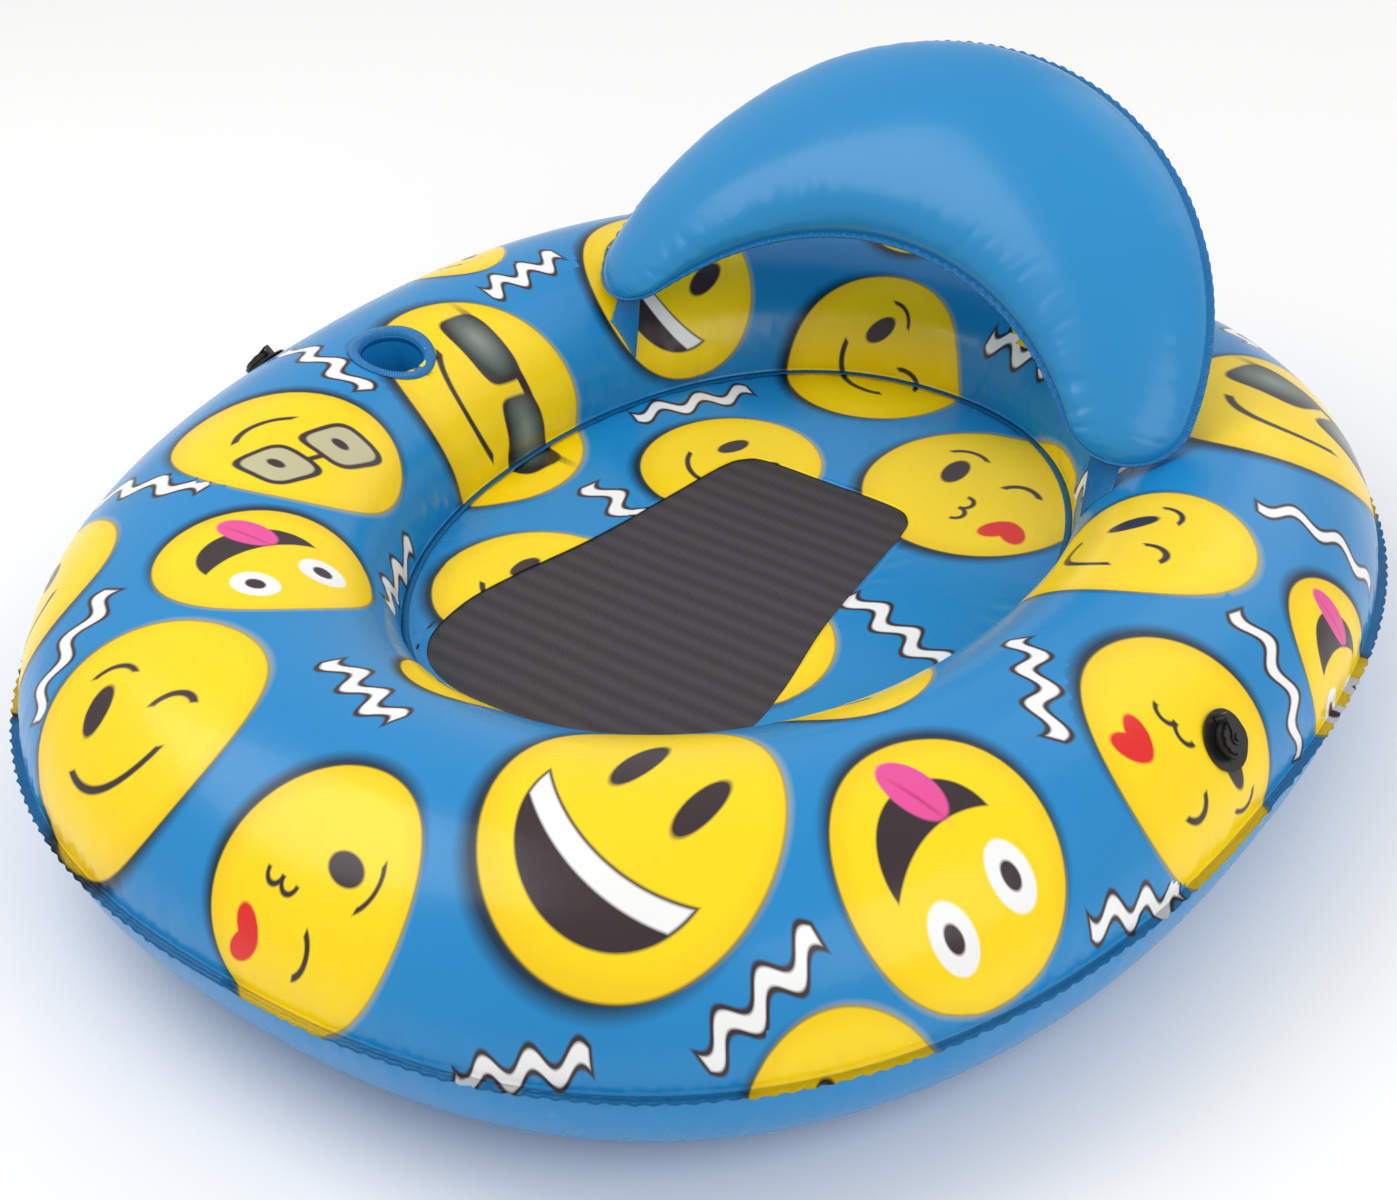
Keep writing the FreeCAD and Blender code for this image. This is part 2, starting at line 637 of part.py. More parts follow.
stem = turned_body("backrest_valve_stem", [
    ("stem_bore", "0 - stem_length"), ("stem_radius", "0 - stem_length"), ("stem_radius", "thread_gap"),
    ("stem_flange_radius", "thread_gap"), ("stem_flange_radius", "thread_gap + sheet"),
    ("stem_radius", "thread_gap + sheet"), ("stem_radius", "stem_radius"), ("stem_bore", "stem_radius")])
plug = turned_body("backrest_valve_plug", [
    ("0", "0 - plug_depth"), ("stem_bore - plug_gap", "0 - plug_depth"),
    ("stem_bore - plug_gap", "stem_radius + plug_gap"), ("plug_head_radius", "stem_radius + plug_gap"),
    ("plug_head_radius", "stem_radius + plug_head_thickness"),
    ("0", "stem_radius + plug_head_thickness")])
for piece in (stem, plug):
    piece.Placement = stem_place


def backrest_tab(side_name, side):
    """A patch welded on the ring with a web that stands up to the tip of the backrest."""
    middle = Vec(side * tip_centre()[0], size("hinge_back"), 0)
    half_patch = Vec(size("tab_width") / 2, size("tab_length") / 2, 0)
    half_web = Vec(size("tab_width") / 2, size("sheet") / 2, 0)
    sector = range(0, TAB_SECTOR + 1, SECTOR_STEP)
    angles = [math.radians(step if side > 0 else 180 - TAB_SECTOR + step) for step in sector]
    patch = conforming_patch(angles, box(middle - half_patch, middle + half_patch + UP * ring_top))
    above_ring = crest_layer(angles, size("thread_gap") + size("sheet") / 2, size("cup_depth"))
    web_top = UP * (size("hinge_height") - size("tab_clearance"))
    web = box(middle - half_web, middle + half_web + web_top).common(above_ring)
    return feature_piece(f"{side_name}_backrest_tab", patch.fuse(web))


backrest_tab("right", 1)
backrest_tab("left", -1)

# ---- check and write ----

doc.recompute()
for item in doc.Objects:
    if "Invalid" in item.State or "Error" in item.State:
        raise RuntimeError(f"{item.Label} failed: {item.State}")
os.makedirs("parts", exist_ok=True)
for piece in pieces:
    shape = piece.Shape
    if shape.isNull() or not shape.isValid() or not shape.Solids:
        raise RuntimeError(f"{piece.Label} has no valid solid")
    shape.exportStep(f"parts/{piece.Label}.step")
    print(f"{piece.Label}: {len(shape.Solids)} solid, {shape.Volume / 1000:.1f} cm3")
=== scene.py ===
import bisect
import json
import math

import bmesh
import bpy
from mathutils import Matrix, Vector, noise


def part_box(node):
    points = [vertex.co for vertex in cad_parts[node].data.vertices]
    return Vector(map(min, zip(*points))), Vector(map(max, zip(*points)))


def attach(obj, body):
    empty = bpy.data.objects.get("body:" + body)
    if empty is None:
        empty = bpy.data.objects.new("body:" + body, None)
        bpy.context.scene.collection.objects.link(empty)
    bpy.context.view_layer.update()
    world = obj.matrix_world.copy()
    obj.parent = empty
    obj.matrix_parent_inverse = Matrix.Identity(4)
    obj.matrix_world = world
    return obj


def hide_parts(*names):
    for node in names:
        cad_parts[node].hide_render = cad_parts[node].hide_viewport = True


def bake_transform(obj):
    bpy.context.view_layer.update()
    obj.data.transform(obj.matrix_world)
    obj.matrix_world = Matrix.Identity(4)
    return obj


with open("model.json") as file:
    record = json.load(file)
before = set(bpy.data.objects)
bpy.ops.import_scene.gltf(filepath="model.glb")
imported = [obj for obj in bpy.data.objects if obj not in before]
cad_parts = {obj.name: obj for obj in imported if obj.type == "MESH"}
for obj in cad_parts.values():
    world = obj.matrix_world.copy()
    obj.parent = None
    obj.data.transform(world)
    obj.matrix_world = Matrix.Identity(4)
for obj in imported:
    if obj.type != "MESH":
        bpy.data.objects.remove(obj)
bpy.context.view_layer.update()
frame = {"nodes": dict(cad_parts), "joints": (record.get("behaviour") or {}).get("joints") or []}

# An inflatable water lounge: a printed oval ring, a seat floor with a mesh panel, a crescent
# backrest, a cup holder in the left arm and a screw valve on each arm.
# Metres. +X is the right arm, +Y the backrest end, +Z up, and the ring rests on z = 0.

UP = Vector((0, 0, 1))
TURN = 2 * math.pi

# ---- sizes ----

SHEET = 0.0012
OUTER_FLANGE = 0.011
INNER_FLANGE = 0.008
WALL_GAP = 0.0005

ring_low, ring_high = (Vector(corner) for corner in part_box("ring_top_sheet"))
floor_low, floor_high = (Vector(corner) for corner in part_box("seat_floor"))
RING_HALF_WIDTH = (ring_high.x - ring_low.x) / 2 - OUTER_FLANGE
RING_HALF_LENGTH = (ring_high.y - ring_low.y) / 2 - OUTER_FLANGE
WELL_HALF_WIDTH = (floor_high.x - floor_low.x) / 2 + WALL_GAP
WELL_HALF_LENGTH = (floor_high.y - floor_low.y) / 2 + WALL_GAP
WELL_SHIFT = (floor_high.y + floor_low.y) / 2
RING_POWER = 2.4
WELL_POWER = 2.15
FOOT_HEIGHT = 0.304
ARM_HEIGHT = 0.296
BACK_HEIGHT = 0.257
SEAT_SLOPE = math.tan(math.radians(1.8))
SEAT_HEIGHT = floor_high.z + SHEET - SEAT_SLOPE * WELL_HALF_LENGTH
REST_BAND = 0.060

cup_low, cup_high = (Vector(corner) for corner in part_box("cup_wall"))
CUP_PLACE = Vector(((cup_low.x + cup_high.x) / 2, (cup_low.y + cup_high.y) / 2, 0))
CUP_RADIUS = (cup_high.x - cup_low.x) / 2
CUP_RIM = 0.012


# ---- small helpers ----

def spread(count, gather):
    """Even steps from 0 to 1 that draw together at both ends."""
    shares = [step / count for step in range(count + 1)]
    return [share - gather * math.sin(TURN * share) / TURN for share in shares]


def new_piece(name, bm, material, body="root", doubles=1e-6):
    """Turns a finished bmesh into a piece that rides on a body."""
    bmesh.ops.remove_doubles(bm, verts=bm.verts, dist=doubles)
    bmesh.ops.recalc_face_normals(bm, faces=bm.faces)
    mesh = bpy.data.meshes.new(name)
    bm.to_mesh(mesh)
    bm.free()
    mesh.shade_smooth()
    piece = bpy.data.objects.new(name, mesh)
    bpy.context.collection.objects.link(piece)
    for finish in material if isinstance(material, list) else [material]:
        mesh.materials.append(finish)
    if body:
        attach(piece, body)
    return piece


def thicken(piece, thickness, offset):
    wall = piece.modifiers.new("wall", "SOLIDIFY")
    wall.thickness = thickness
    wall.offset = offset
    wall.use_even_offset = False


def net(columns, rows, place, chart=None):
    """A sheet of quads whose corners go where place(column, row) says."""
    bm = bmesh.new()
    bmesh.ops.create_grid(bm, x_segments=columns, y_segments=rows, size=1)
    across = bm.verts.layers.float.new("flat_across")
    along = bm.verts.layers.float.new("flat_along")
    for corner in bm.verts:
        column = round((corner.co.x + 1) / 2 * columns)
        row = round((corner.co.y + 1) / 2 * rows)
        corner.co = place(column, row)
        if chart:
            corner[across], corner[along] = chart(column, row)
    return bm


def loop_lengths(points):
    """How far along a closed loop each of its points is."""
    lengths = [0.0]
    for before, after in zip(points, points[1:]):
        lengths.append(lengths[-1] + (after - before).length)
    return lengths


CREASE_SHARPNESS = 6
FINE_CREASES = 0.35


def crease(along, away, seed, spacing=0.030, reach=0.11):
    """How deep the gathers are that run out from a weld line: 1 in a main one, a little more
    where a fine one crosses it."""
    wander = noise.noise(Vector((along / spacing, away / reach, seed)))
    fine = noise.noise(Vector((along / (0.45 * spacing), away / (0.5 * reach), seed + 7)))
    return (math.exp(-(CREASE_SHARPNESS * wander) ** 2)
            + FINE_CREASES * math.exp(-(CREASE_SHARPNESS * fine) ** 2))


def outline_area(outline):
    """The area inside a closed loop of flat points."""
    return abs(sum(start.x * end.y - start.y * end.x
                   for start, end in zip(outline, outline[1:] + outline[:1]))) / 2


def declare_cut(outline, hole=()):
    """Works out a cut's flat size and its area less the hole in it, and keeps neither."""
    flat = [max(point[axis] for point in outline) - min(point[axis] for point in outline)
            for axis in (0, 1)]
    area = outline_area(outline) - (outline_area(hole) if hole else 0)


# ---- the ring's shape ----

def oval(angle, half_width, half_length, power):
    """A point of a squarish oval: power 2 is an ellipse."""
    def bent(value):
        return math.copysign(abs(value) ** (2 / power), value) if abs(value) > 1e-9 else 0.0

    return Vector((half_width * bent(math.cos(angle)), half_length * bent(math.sin(angle)), 0))


def ring_height(angle):
    """The tube's height, which changes smoothly from the foot end to the arms and the back."""
    along = math.sin(angle)
    middle = (BACK_HEIGHT + FOOT_HEIGHT) / 2 - ARM_HEIGHT
    return ARM_HEIGHT + (BACK_HEIGHT - FOOT_HEIGHT) / 2 * along + middle * along ** 2


def floor_level(y):
    """The height of the seat's weld, which slopes down a little towards the back."""
    return SEAT_HEIGHT - SEAT_SLOPE * (y - WELL_SHIFT)


class Station:
    """One upright cut through the ring."""

    def __init__(self, angle):
        self.outer = oval(angle, RING_HALF_WIDTH, RING_HALF_LENGTH, RING_POWER)
        self.inner = oval(angle, WELL_HALF_WIDTH, WELL_HALF_LENGTH, WELL_POWER)
        self.inner.y += WELL_SHIFT
        self.height = ring_height(angle)
        self.outer.z = self.height / 2
        self.inner.z = floor_level(self.inner.y)
        flat = Vector((self.outer.x - self.inner.x, self.outer.y - self.inner.y, 0))
        self.half = flat.length / 2
        self.out = flat.normalized()
        self.middle = Vector((self.outer.x + self.inner.x, self.outer.y + self.inner.y, 0)) / 2

    def place(self, across, height):
        return self.middle + self.out * across + UP * height

    def skin(self, climb, side, lift=0.0):
        """A point lift outside the skin: climb runs 0 to pi from the outer to the inner weld."""
        seam = self.outer.z if climb <= math.pi / 2 else self.inner.z
        land = REST_BAND / 2 if side < 0 else 0.0
        reach = self.height - seam if side > 0 else seam
        across = (self.half - land) * math.cos(climb) + math.copysign(land, math.cos(climb))
        normal = self.out * (math.cos(climb) / self.half) + UP * (side * math.sin(climb) / reach)
        height = seam + side * reach * math.sin(climb)
        return self.place(across, height) + normal.normalized() * lift


RING_COLUMNS = 760
END_FADE = 12
SWELL = 0.0016
OUTER_GATHER, OUTER_FADE = 0.0026, 0.030
INNER_GATHER, INNER_FADE = 0.0028, 0.035
WELD_HOLD = 0.012
CRIMP_PITCH, CRIMP_HEIGHT = 0.0165, 0.0013
FLANGE_WANDER = 0.0016
STATIONS = [Station(-math.pi / 2 + TURN * step / RING_COLUMNS) for step in range(RING_COLUMNS + 1)]
OUTER_LENGTHS = loop_lengths([cut.outer for cut in STATIONS])
INNER_LENGTHS = loop_lengths([cut.inner for cut in STATIONS])


def closing(column):
    """Fades a pattern out where the net's two ends meet."""
    return min(1.0, column / END_FADE, (RING_COLUMNS - column) / END_FADE)


def skin_points(column, side, shares):
    """One sheet's points from weld to weld, and how far each is over the tube."""
    cut = STATIONS[column]
    plain = [cut.skin(math.pi * (1 - share), side) for share in shares]
    lengths = loop_lengths(plain)
    points = []
    for share, length in zip(shares, lengths):
        to_outer, to_inner = lengths[-1] - length, length
        outer_crease = crease(OUTER_LENGTHS[column], to_outer, 3.1)
        inner_crease = crease(INNER_LENGTHS[column], to_inner, 9.4)
        gather = outer_crease * math.exp(-to_outer / OUTER_FADE) * OUTER_GATHER
        gather += inner_crease * math.exp(-to_inner / INNER_FADE) * INNER_GATHER
        swell = SWELL * noise.noise(Vector((*plain[0].xy * 5, length * 6)))
        rise = min(1.0, min(to_outer, to_inner) / WELD_HOLD)
        point = cut.skin(math.pi * (1 - share), side, (swell - gather * closing(column)) * rise)
        point.z = max(point.z, 0.0)
        points.append(point)
    return points, lengths


def ring_strip(side, rows):
    """For each column, one sheet's points from the inner to the outer flange, and their flat
    places."""
    shares = spread(rows, 0.45)
    strips = []
    for column, cut in enumerate(STATIONS):
        points, lengths = skin_points(column, side, shares)
        crimp = OUTER_LENGTHS[column] * TURN / CRIMP_PITCH
        wave = CRIMP_HEIGHT * math.sin(crimp) * closing(column)
        wave += FLANGE_WANDER * noise.noise(Vector((OUTER_LENGTHS[column] / 0.02, 1.5, 0)))
        edge = OUTER_FLANGE * (0.86 + 0.14 * math.sin(crimp + 1.1) * closing(column))
        inner_edge = points[0] - cut.out * INNER_FLANGE
        middle = points[-1] + cut.out * edge * 0.5 + UP * wave * 0.7
        outer_edge = points[-1] + cut.out * edge + UP * wave
        start = Vector((cut.inner.x, cut.inner.y))
        chart = [start - cut.out.xy * INNER_FLANGE] + [start + cut.out.xy * run for run in lengths]
        chart += [start + cut.out.xy * (lengths[-1] + edge * share) for share in (0.5, 1)]
        strips.append(([inner_edge] + points + [middle, outer_edge], chart))
    return strips


# ---- the print ----

FACE_RADIUS = 0.125
MARK_HALF = 0.075
MARK_STROKE = 0.012
SHADOW_REACH = 0.032
FARTHEST_REACH = 0.07

# Sizes along the ring and outwards. The sheet is drawn in round its outer weld, so a face there
# is a little longer outwards.
ROUND, LONG = (1.0, 1.0), (0.92, 1.10)

# Each face of the print: its kind, its place on the flat sheet, its turn in degrees and its radius.
FACES = [
    ("wink", -0.093, 0.464, -33, 0.113), ("kiss", 0.147, 0.293, 5, 0.130),
    ("smile", -0.117, 0.183, -20, 0.104), ("wink", 0.478, 0.125, -50, 0.130),
    ("shades", -0.407, 0.040, -8, 0.140), ("grin", -0.380, 0.385, -8, 0.122),
    ("glasses", -0.457, -0.267, -92, 0.118), ("tongue", -0.307, -0.450, -98, 0.105),
    ("wink", -0.242, -0.716, 20, 0.138), ("kiss", 0.072, -0.782, -95, 0.122),
    ("grin", 0.306, -0.566, -8, 0.156), ("tongue", 0.572, -0.424, -100, 0.123),
    ("kiss", 0.697, -0.125, -90, 0.128), ("smile", 0.655, -0.690, 30, 0.120),
    ("tongue", 0.762, 0.193, -95, 0.098), ("shades", 0.500, 0.520, -5, 0.150),
    ("smile", -0.575, -0.600, 40, 0.125), ("smile", -0.145, -0.143, 0, 0.108),
    ("smile", 0.078, -0.110, 0, 0.118), ("smile", -0.640, 0.236, 0, 0.080),
    ("smile", -0.020, -0.425, 0, 0.085), ("smile", 0.330, -0.235, 0, 0.100),
    ("smile", 0.160, 0.640, 20, 0.110), ("grin", -0.170, 0.730, 0, 0.110),
]

# Each wave mark between the faces: its place on the flat sheet and its turn in degrees.
MARKS = [
    (-0.236, 0.271, 58), (0.120, 0.530, -14), (0.640, 0.307, 28), (0.715, 0.060, -14),
    (0.528, -0.178, -58), (-0.150, 0.036, -16), (0.214, 0.014, -20), (-0.052, -0.565, -18),
    (-0.400, -0.650, 96), (0.500, -0.636, 74), (0.345, -0.815, 36), (-0.258, -0.265, -64),
    (-0.560, -0.105, -20), (-0.535, -0.412, 4), (0.745, -0.300, 60), (0.330, 0.325, -14),
    (-0.512, 0.235, 80), (0.310, 0.700, -40),
]


def stamp_stretch(centre):
    """How a stamp is drawn out: (direction outwards, size along the ring, size outwards)."""
    out = Vector((centre[0], centre[1] - WELL_SHIFT))
    over_well = math.hypot(out.x / WELL_HALF_WIDTH, out.y / WELL_HALF_LENGTH) < 1.2
    return (out.normalized(), *(ROUND if over_well else LONG))


def in_stamp(place, centre, turn, radius):
    """A place on the flat sheet in a stamp's own units, where its disc has radius 1."""
    out, along_size, out_size = stamp_stretch(centre)
    offset = Vector(place) - Vector(centre)
    outwards = offset.dot(out)
    offset = (offset - out * outwards) / along_size + out * (outwards / out_size)
    return Matrix.Rotation(-math.radians(turn), 2) @ offset / radius


def nearest_stamp(place):
    """The face or mark that a place on the flat sheet belongs to: (kind, centre, turn, radius)."""
    best, best_gap = ("plain", (0, 0), 0, FACE_RADIUS), SHADOW_REACH
    for kind, x, y, turn, radius in FACES:
        if math.hypot(place[0] - x, place[1] - y) > radius + FARTHEST_REACH:
            continue
        gap = (in_stamp(place, (x, y), turn, radius).length - 1) * radius
        if gap < best_gap:
            best, best_gap = (kind, (x, y), turn, radius), gap
    for x, y, turn in MARKS:
        spot = in_stamp(place, (x, y), turn, 1)
        gap = math.hypot(max(0.0, abs(spot.x) - MARK_HALF), spot.y) - MARK_STROKE
        if gap < best_gap:
            best, best_gap = ("wave", (x, y), turn, FACE_RADIUS), gap
    return best


KINDS = ["plain", "smile", "wink", "grin", "tongue", "shades", "glasses", "kiss", "wave"]


def stamp_print(bm):
    """Gives every face of a net its part of the print: a finish, and a place in its stamp."""
    across = bm.verts.layers.float.get("flat_across")
    along = bm.verts.layers.float.get("flat_along")
    places = bm.loops.layers.uv.new("print")
    for face in bm.faces:
        corners = [Vector((corner[across], corner[along])) for corner in face.verts]
        kind, *stamp = nearest_stamp(sum(corners, Vector((0, 0))) / len(corners))
        face.material_index = KINDS.index(kind)
        for loop in face.loops:
            loop[places].uv = in_stamp((loop.vert[across], loop.vert[along]), *stamp)


def weld_map(bm):
    """Keeps each corner's distance along and across a weld for the welded finish's ribs."""
    across = bm.verts.layers.float.get("flat_across")
    along = bm.verts.layers.float.get("flat_along")
    places = bm.loops.layers.uv.new("weld")
    for face in bm.faces:
        for loop in face.loops:
            loop[places].uv = loop.vert[across], loop.vert[along]


# ---- finishes ----

def tone(red, green, blue):
    """A colour written as it looks on a screen, 0 to 255."""
    def linear(value):
        value /= 255
        return value / 12.92 if value <= 0.04045 else ((value + 0.055) / 1.055) ** 2.4
    return linear(red), linear(green), linear(blue), 1.0


BLUE = tone(24, 135, 199)
BACKREST_BLUE = tone(32, 138, 199)
YELLOW = tone(255, 219, 0)
INK = tone(52, 38, 42)
WHITE = tone(245, 245, 245)
PINK = tone(231, 80, 155)
RED = tone(226, 36, 32)
LENS = tone(38, 48, 42)
LENS_SHINE = tone(150, 165, 155)
PALE_LENS = tone(196, 190, 150)


class Number:
    """A number inside a material, so that a pattern reads as a formula."""

    def __init__(self, tree, socket):
        self.tree, self.socket = tree, socket

    def work(self, operation, *others, clamp=False):
        node = self.tree.nodes.new("ShaderNodeMath")
        node.operation, node.use_clamp = operation, clamp
        for slot_in, value in zip(node.inputs, (self, *others)):
            if isinstance(value, Number):
                self.tree.links.new(value.socket, slot_in)
            else:
                slot_in.default_value = value
        return Number(self.tree, node.outputs[0])

    def __add__(self, other):
        return self.work("ADD", other)

    def __sub__(self, other):
        return self.work("SUBTRACT", other)

    def __mul__(self, other):
        return self.work("MULTIPLY", other)

    def __truediv__(self, other):
        return self.work("DIVIDE", other)

    def size(self):
        return self.work("ABSOLUTE")

    def most(self, other):
        return self.work("MAXIMUM", other)


class Sketch:
    """Draws inked shapes over a base colour, in a stamp's own units: its disc has radius 1."""

    def __init__(self, tree, base):
        self.tree = tree
        place = tree.nodes.new("ShaderNodeUVMap")
        place.uv_map = "print"
        parts = tree.nodes.new("ShaderNodeSeparateXYZ")
        tree.links.new(place.outputs[0], parts.inputs[0])
        self.x, self.y = Number(tree, parts.outputs[0]), Number(tree, parts.outputs[1])
        self.colour = base

    def from_here(self, centre, turn=0.0):
        """Coordinates about a centre, turned by an angle in degrees."""
        x, y = self.x - centre[0], self.y - centre[1]
        if not turn:
            return x, y
        cosine, sine = math.cos(math.radians(turn)), math.sin(math.radians(turn))
        return x * cosine + y * sine, y * cosine - x * sine

    def oval(self, centre, radii, turn=0.0):
        x, y = self.from_here(centre, turn)
        x, y = x / radii[0], y / radii[1]
        return ((x * x + y * y).work("SQRT") - 1) * min(radii)

    def soft_box(self, centre, radii, turn=0.0):
        """A box with very round corners."""
        x, y = self.from_here(centre, turn)
        x, y = x / radii[0], y / radii[1]
        return ((x * x * x * x + y * y * y * y).work("POWER", 0.25) - 1) * min(radii)

    def arc(self, centre, radius, half_line, below=None, above=None):
        """A curved stroke, kept below or above a level."""
        x, y = self.from_here(centre)
        stroke = ((x * x + y * y).work("SQRT") - radius).size() - half_line
        if below is not None:
            stroke = stroke.most(self.y - below)
        if above is not None:
            stroke = stroke.most(self.y * -1 + above)
        return stroke

    def ink(self, distance, colour, softness=0.02, strength=1.0):
        """Lays a colour where the distance is below zero."""
        cover = (distance * (-1 / softness)).work("ADD", 0.5, clamp=True) * strength
        mix = self.tree.nodes.new("ShaderNodeMix")
        mix.data_type = "RGBA"
        self.tree.links.new(cover.socket, mix.inputs["Factor"])
        for socket, value in ((mix.inputs[6], self.colour), (mix.inputs[7], colour)):
            if isinstance(value, tuple):
                socket.default_value = value
            else:
                self.tree.links.new(value, socket)
        self.colour = mix.outputs[2]


def draw_disc(sketch):
    """The yellow disc of every face, with its shadow and outline."""
    sketch.ink(sketch.oval((-0.035, -0.065), (1.04, 1.04)), tone(4, 22, 40), 0.12, 0.92)
    sketch.ink(sketch.oval((0, 0), (1.012, 1.012)), tone(90, 80, 10))
    sketch.ink(sketch.oval((0, 0), (1, 1)), tone(246, 204, 0))
    sketch.ink(sketch.oval((0.02, 0.04), (0.93, 0.93)), YELLOW, 0.20)


def draw_open_eyes(sketch, height=0.20, level=0.24):
    for side in (-1, 1):
        sketch.ink(sketch.oval((0.30 * side, level), (0.11, height)), INK)


def draw_smile(sketch, radius=0.58, level=-0.22):
    sketch.ink(sketch.arc((0, 0.12), radius, 0.030, below=level), INK)


def draw_wink(sketch):
    sketch.ink(sketch.oval((-0.32, 0.22), (0.11, 0.20)), INK)
    sketch.ink(sketch.arc((-0.32, 0.34), 0.24, 0.022, above=0.50), INK)
    sketch.ink(sketch.arc((0.34, 0.06), 0.20, 0.028, above=0.16), INK)


def draw_mouth(sketch, centre, radius, teeth):
    """An open mouth under a sagging upper lip, with a band of teeth along the lip."""
    lip_radius = radius * 1.9
    lip_centre = (centre[0], centre[1] + lip_radius * 0.86)
    mouth = sketch.oval(centre, (radius, radius * 0.92))
    mouth = mouth.most(sketch.oval(lip_centre, (lip_radius,) * 2) * -1)
    sketch.ink(mouth, INK)
    if teeth:
        band = sketch.oval(lip_centre, (lip_radius + teeth,) * 2)
        sketch.ink(band.most(mouth.work("ADD", 0.02)), WHITE)


def face_smile(sketch):
    draw_disc(sketch)
    draw_open_eyes(sketch)
    draw_smile(sketch)


def face_wink(sketch):
    draw_disc(sketch)
    draw_wink(sketch)
    draw_smile(sketch, 0.52, -0.18)


def face_grin(sketch):
    draw_disc(sketch)
    draw_open_eyes(sketch, 0.26, 0.34)
    draw_mouth(sketch, (0, -0.10), 0.72, 0.17)


def face_tongue(sketch):
    draw_disc(sketch)
    for side in (-1, 1):
        sketch.ink(sketch.oval((0.36 * side, 0.34), (0.20, 0.26)), WHITE)
        sketch.ink(sketch.oval((0.36 * side, 0.34), (0.08, 0.11)), INK)
    draw_mouth(sketch, (0, -0.10), 0.58, 0)
    sketch.ink(sketch.oval((-0.16, -0.56), (0.19, 0.32), 14), PINK)
    sketch.ink(sketch.soft_box((-0.14, -0.48), (0.012, 0.16), 14), tone(190, 48, 112), 0.03)


def face_shades(sketch):
    draw_disc(sketch)
    sketch.ink(sketch.soft_box((0, 0.42), (0.78, 0.05)), INK)
    for side in (-1, 1):
        lens = sketch.soft_box((0.40 * side, 0.24), (0.32, 0.24))
        sketch.ink(lens - 0.02, INK)
        sketch.ink(lens.work("ADD", 0.03), LENS)
        sketch.ink(sketch.oval((0.40 * side - 0.06, 0.26), (0.20, 0.13)), LENS_SHINE, 0.22, 0.7)
    draw_smile(sketch, 0.60, -0.26)


def face_glasses(sketch):
    draw_disc(sketch)
    sketch.ink(sketch.soft_box((0, 0.28), (0.14, 0.03)), INK)
    for side in (-1, 1):
        lens = sketch.soft_box((0.38 * side, 0.22), (0.29, 0.27))
        sketch.ink(lens, PALE_LENS)
        sketch.ink(sketch.oval((0.38 * side, 0.20), (0.06, 0.09)), INK)
        sketch.ink(lens.size() - 0.028, INK)
    draw_smile(sketch, 0.55, -0.30)


def face_kiss(sketch):
    draw_disc(sketch)
    draw_wink(sketch)
    for level in (-0.20, -0.38):
        x, y = sketch.from_here((-0.04, level))
        lip = ((x * x + y * y).work("SQRT") - 0.09).size() - 0.022
        sketch.ink(lip.most(x * -1), INK)
    for side in (-1, 1):
        sketch.ink(sketch.oval((0.46 + 0.070 * side, -0.44), (0.11, 0.18), 38 * side), RED)


def wave_mark(sketch):
    """A generic ripple in place of any wording."""
    reach = MARK_HALF / FACE_RADIUS
    ripple = (sketch.x * (TURN / 0.42)).work("SINE") * 0.085
    stroke = (sketch.y - ripple).size() * 0.72
    end = sketch.x.size() - reach
    sketch.ink((stroke - 0.088).most(end - 0.03), INK)
    sketch.ink((stroke - 0.050).most(end), WHITE)


DRAWINGS = {"smile": face_smile, "wink": face_wink, "grin": face_grin, "tongue": face_tongue,
            "shades": face_shades, "glasses": face_glasses, "kiss": face_kiss, "wave": wave_mark}


def new_finish(name):
    """A new material: itself, its node tree and its shader."""
    finish = bpy.data.materials.new(name)
    finish.use_nodes = True
    tree = finish.node_tree
    return finish, tree, tree.nodes["Principled BSDF"]


def object_noise(tree, scale, detail):
    """Cloudy noise that stays put on a piece."""
    place = tree.nodes.new("ShaderNodeTexCoord")
    spots = tree.nodes.new("ShaderNodeTexNoise")
    spots.inputs["Scale"].default_value = scale
    spots.inputs["Detail"].default_value = detail
    tree.links.new(place.outputs["Object"], spots.inputs["Vector"])
    return spots.outputs["Fac"]


def bump(tree, shader, layers):
    """Stacks (height socket, strength, distance) layers of relief on a shader."""
    before = None
    for height, strength, distance in layers:
        relief = tree.nodes.new("ShaderNodeBump")
        relief.inputs["Strength"].default_value = strength
        relief.inputs["Distance"].default_value = distance
        tree.links.new(height, relief.inputs["Height"])
        if before:
            tree.links.new(before, relief.inputs["Normal"])
        before = relief.outputs[0]
    tree.links.new(before, shader.inputs["Normal"])


def shaded(tree, colour, spots, amount):
    """The colour, a little lighter and darker in patches."""
    mix = tree.nodes.new("ShaderNodeHueSaturation")
    ramp = tree.nodes.new("ShaderNodeMapRange")
    ramp.inputs["To Min"].default_value = 1 - amount
    ramp.inputs["To Max"].default_value = 1 + amount
    tree.links.new(spots, ramp.inputs["Value"])
    tree.links.new(ramp.outputs[0], mix.inputs["Value"])
    if isinstance(colour, tuple):
        mix.inputs["Color"].default_value = colour
    else:
        tree.links.new(colour, mix.inputs["Color"])
    return mix.outputs[0]


VINYL_GRAIN = 0.10
RIB_PITCH = 0.0024


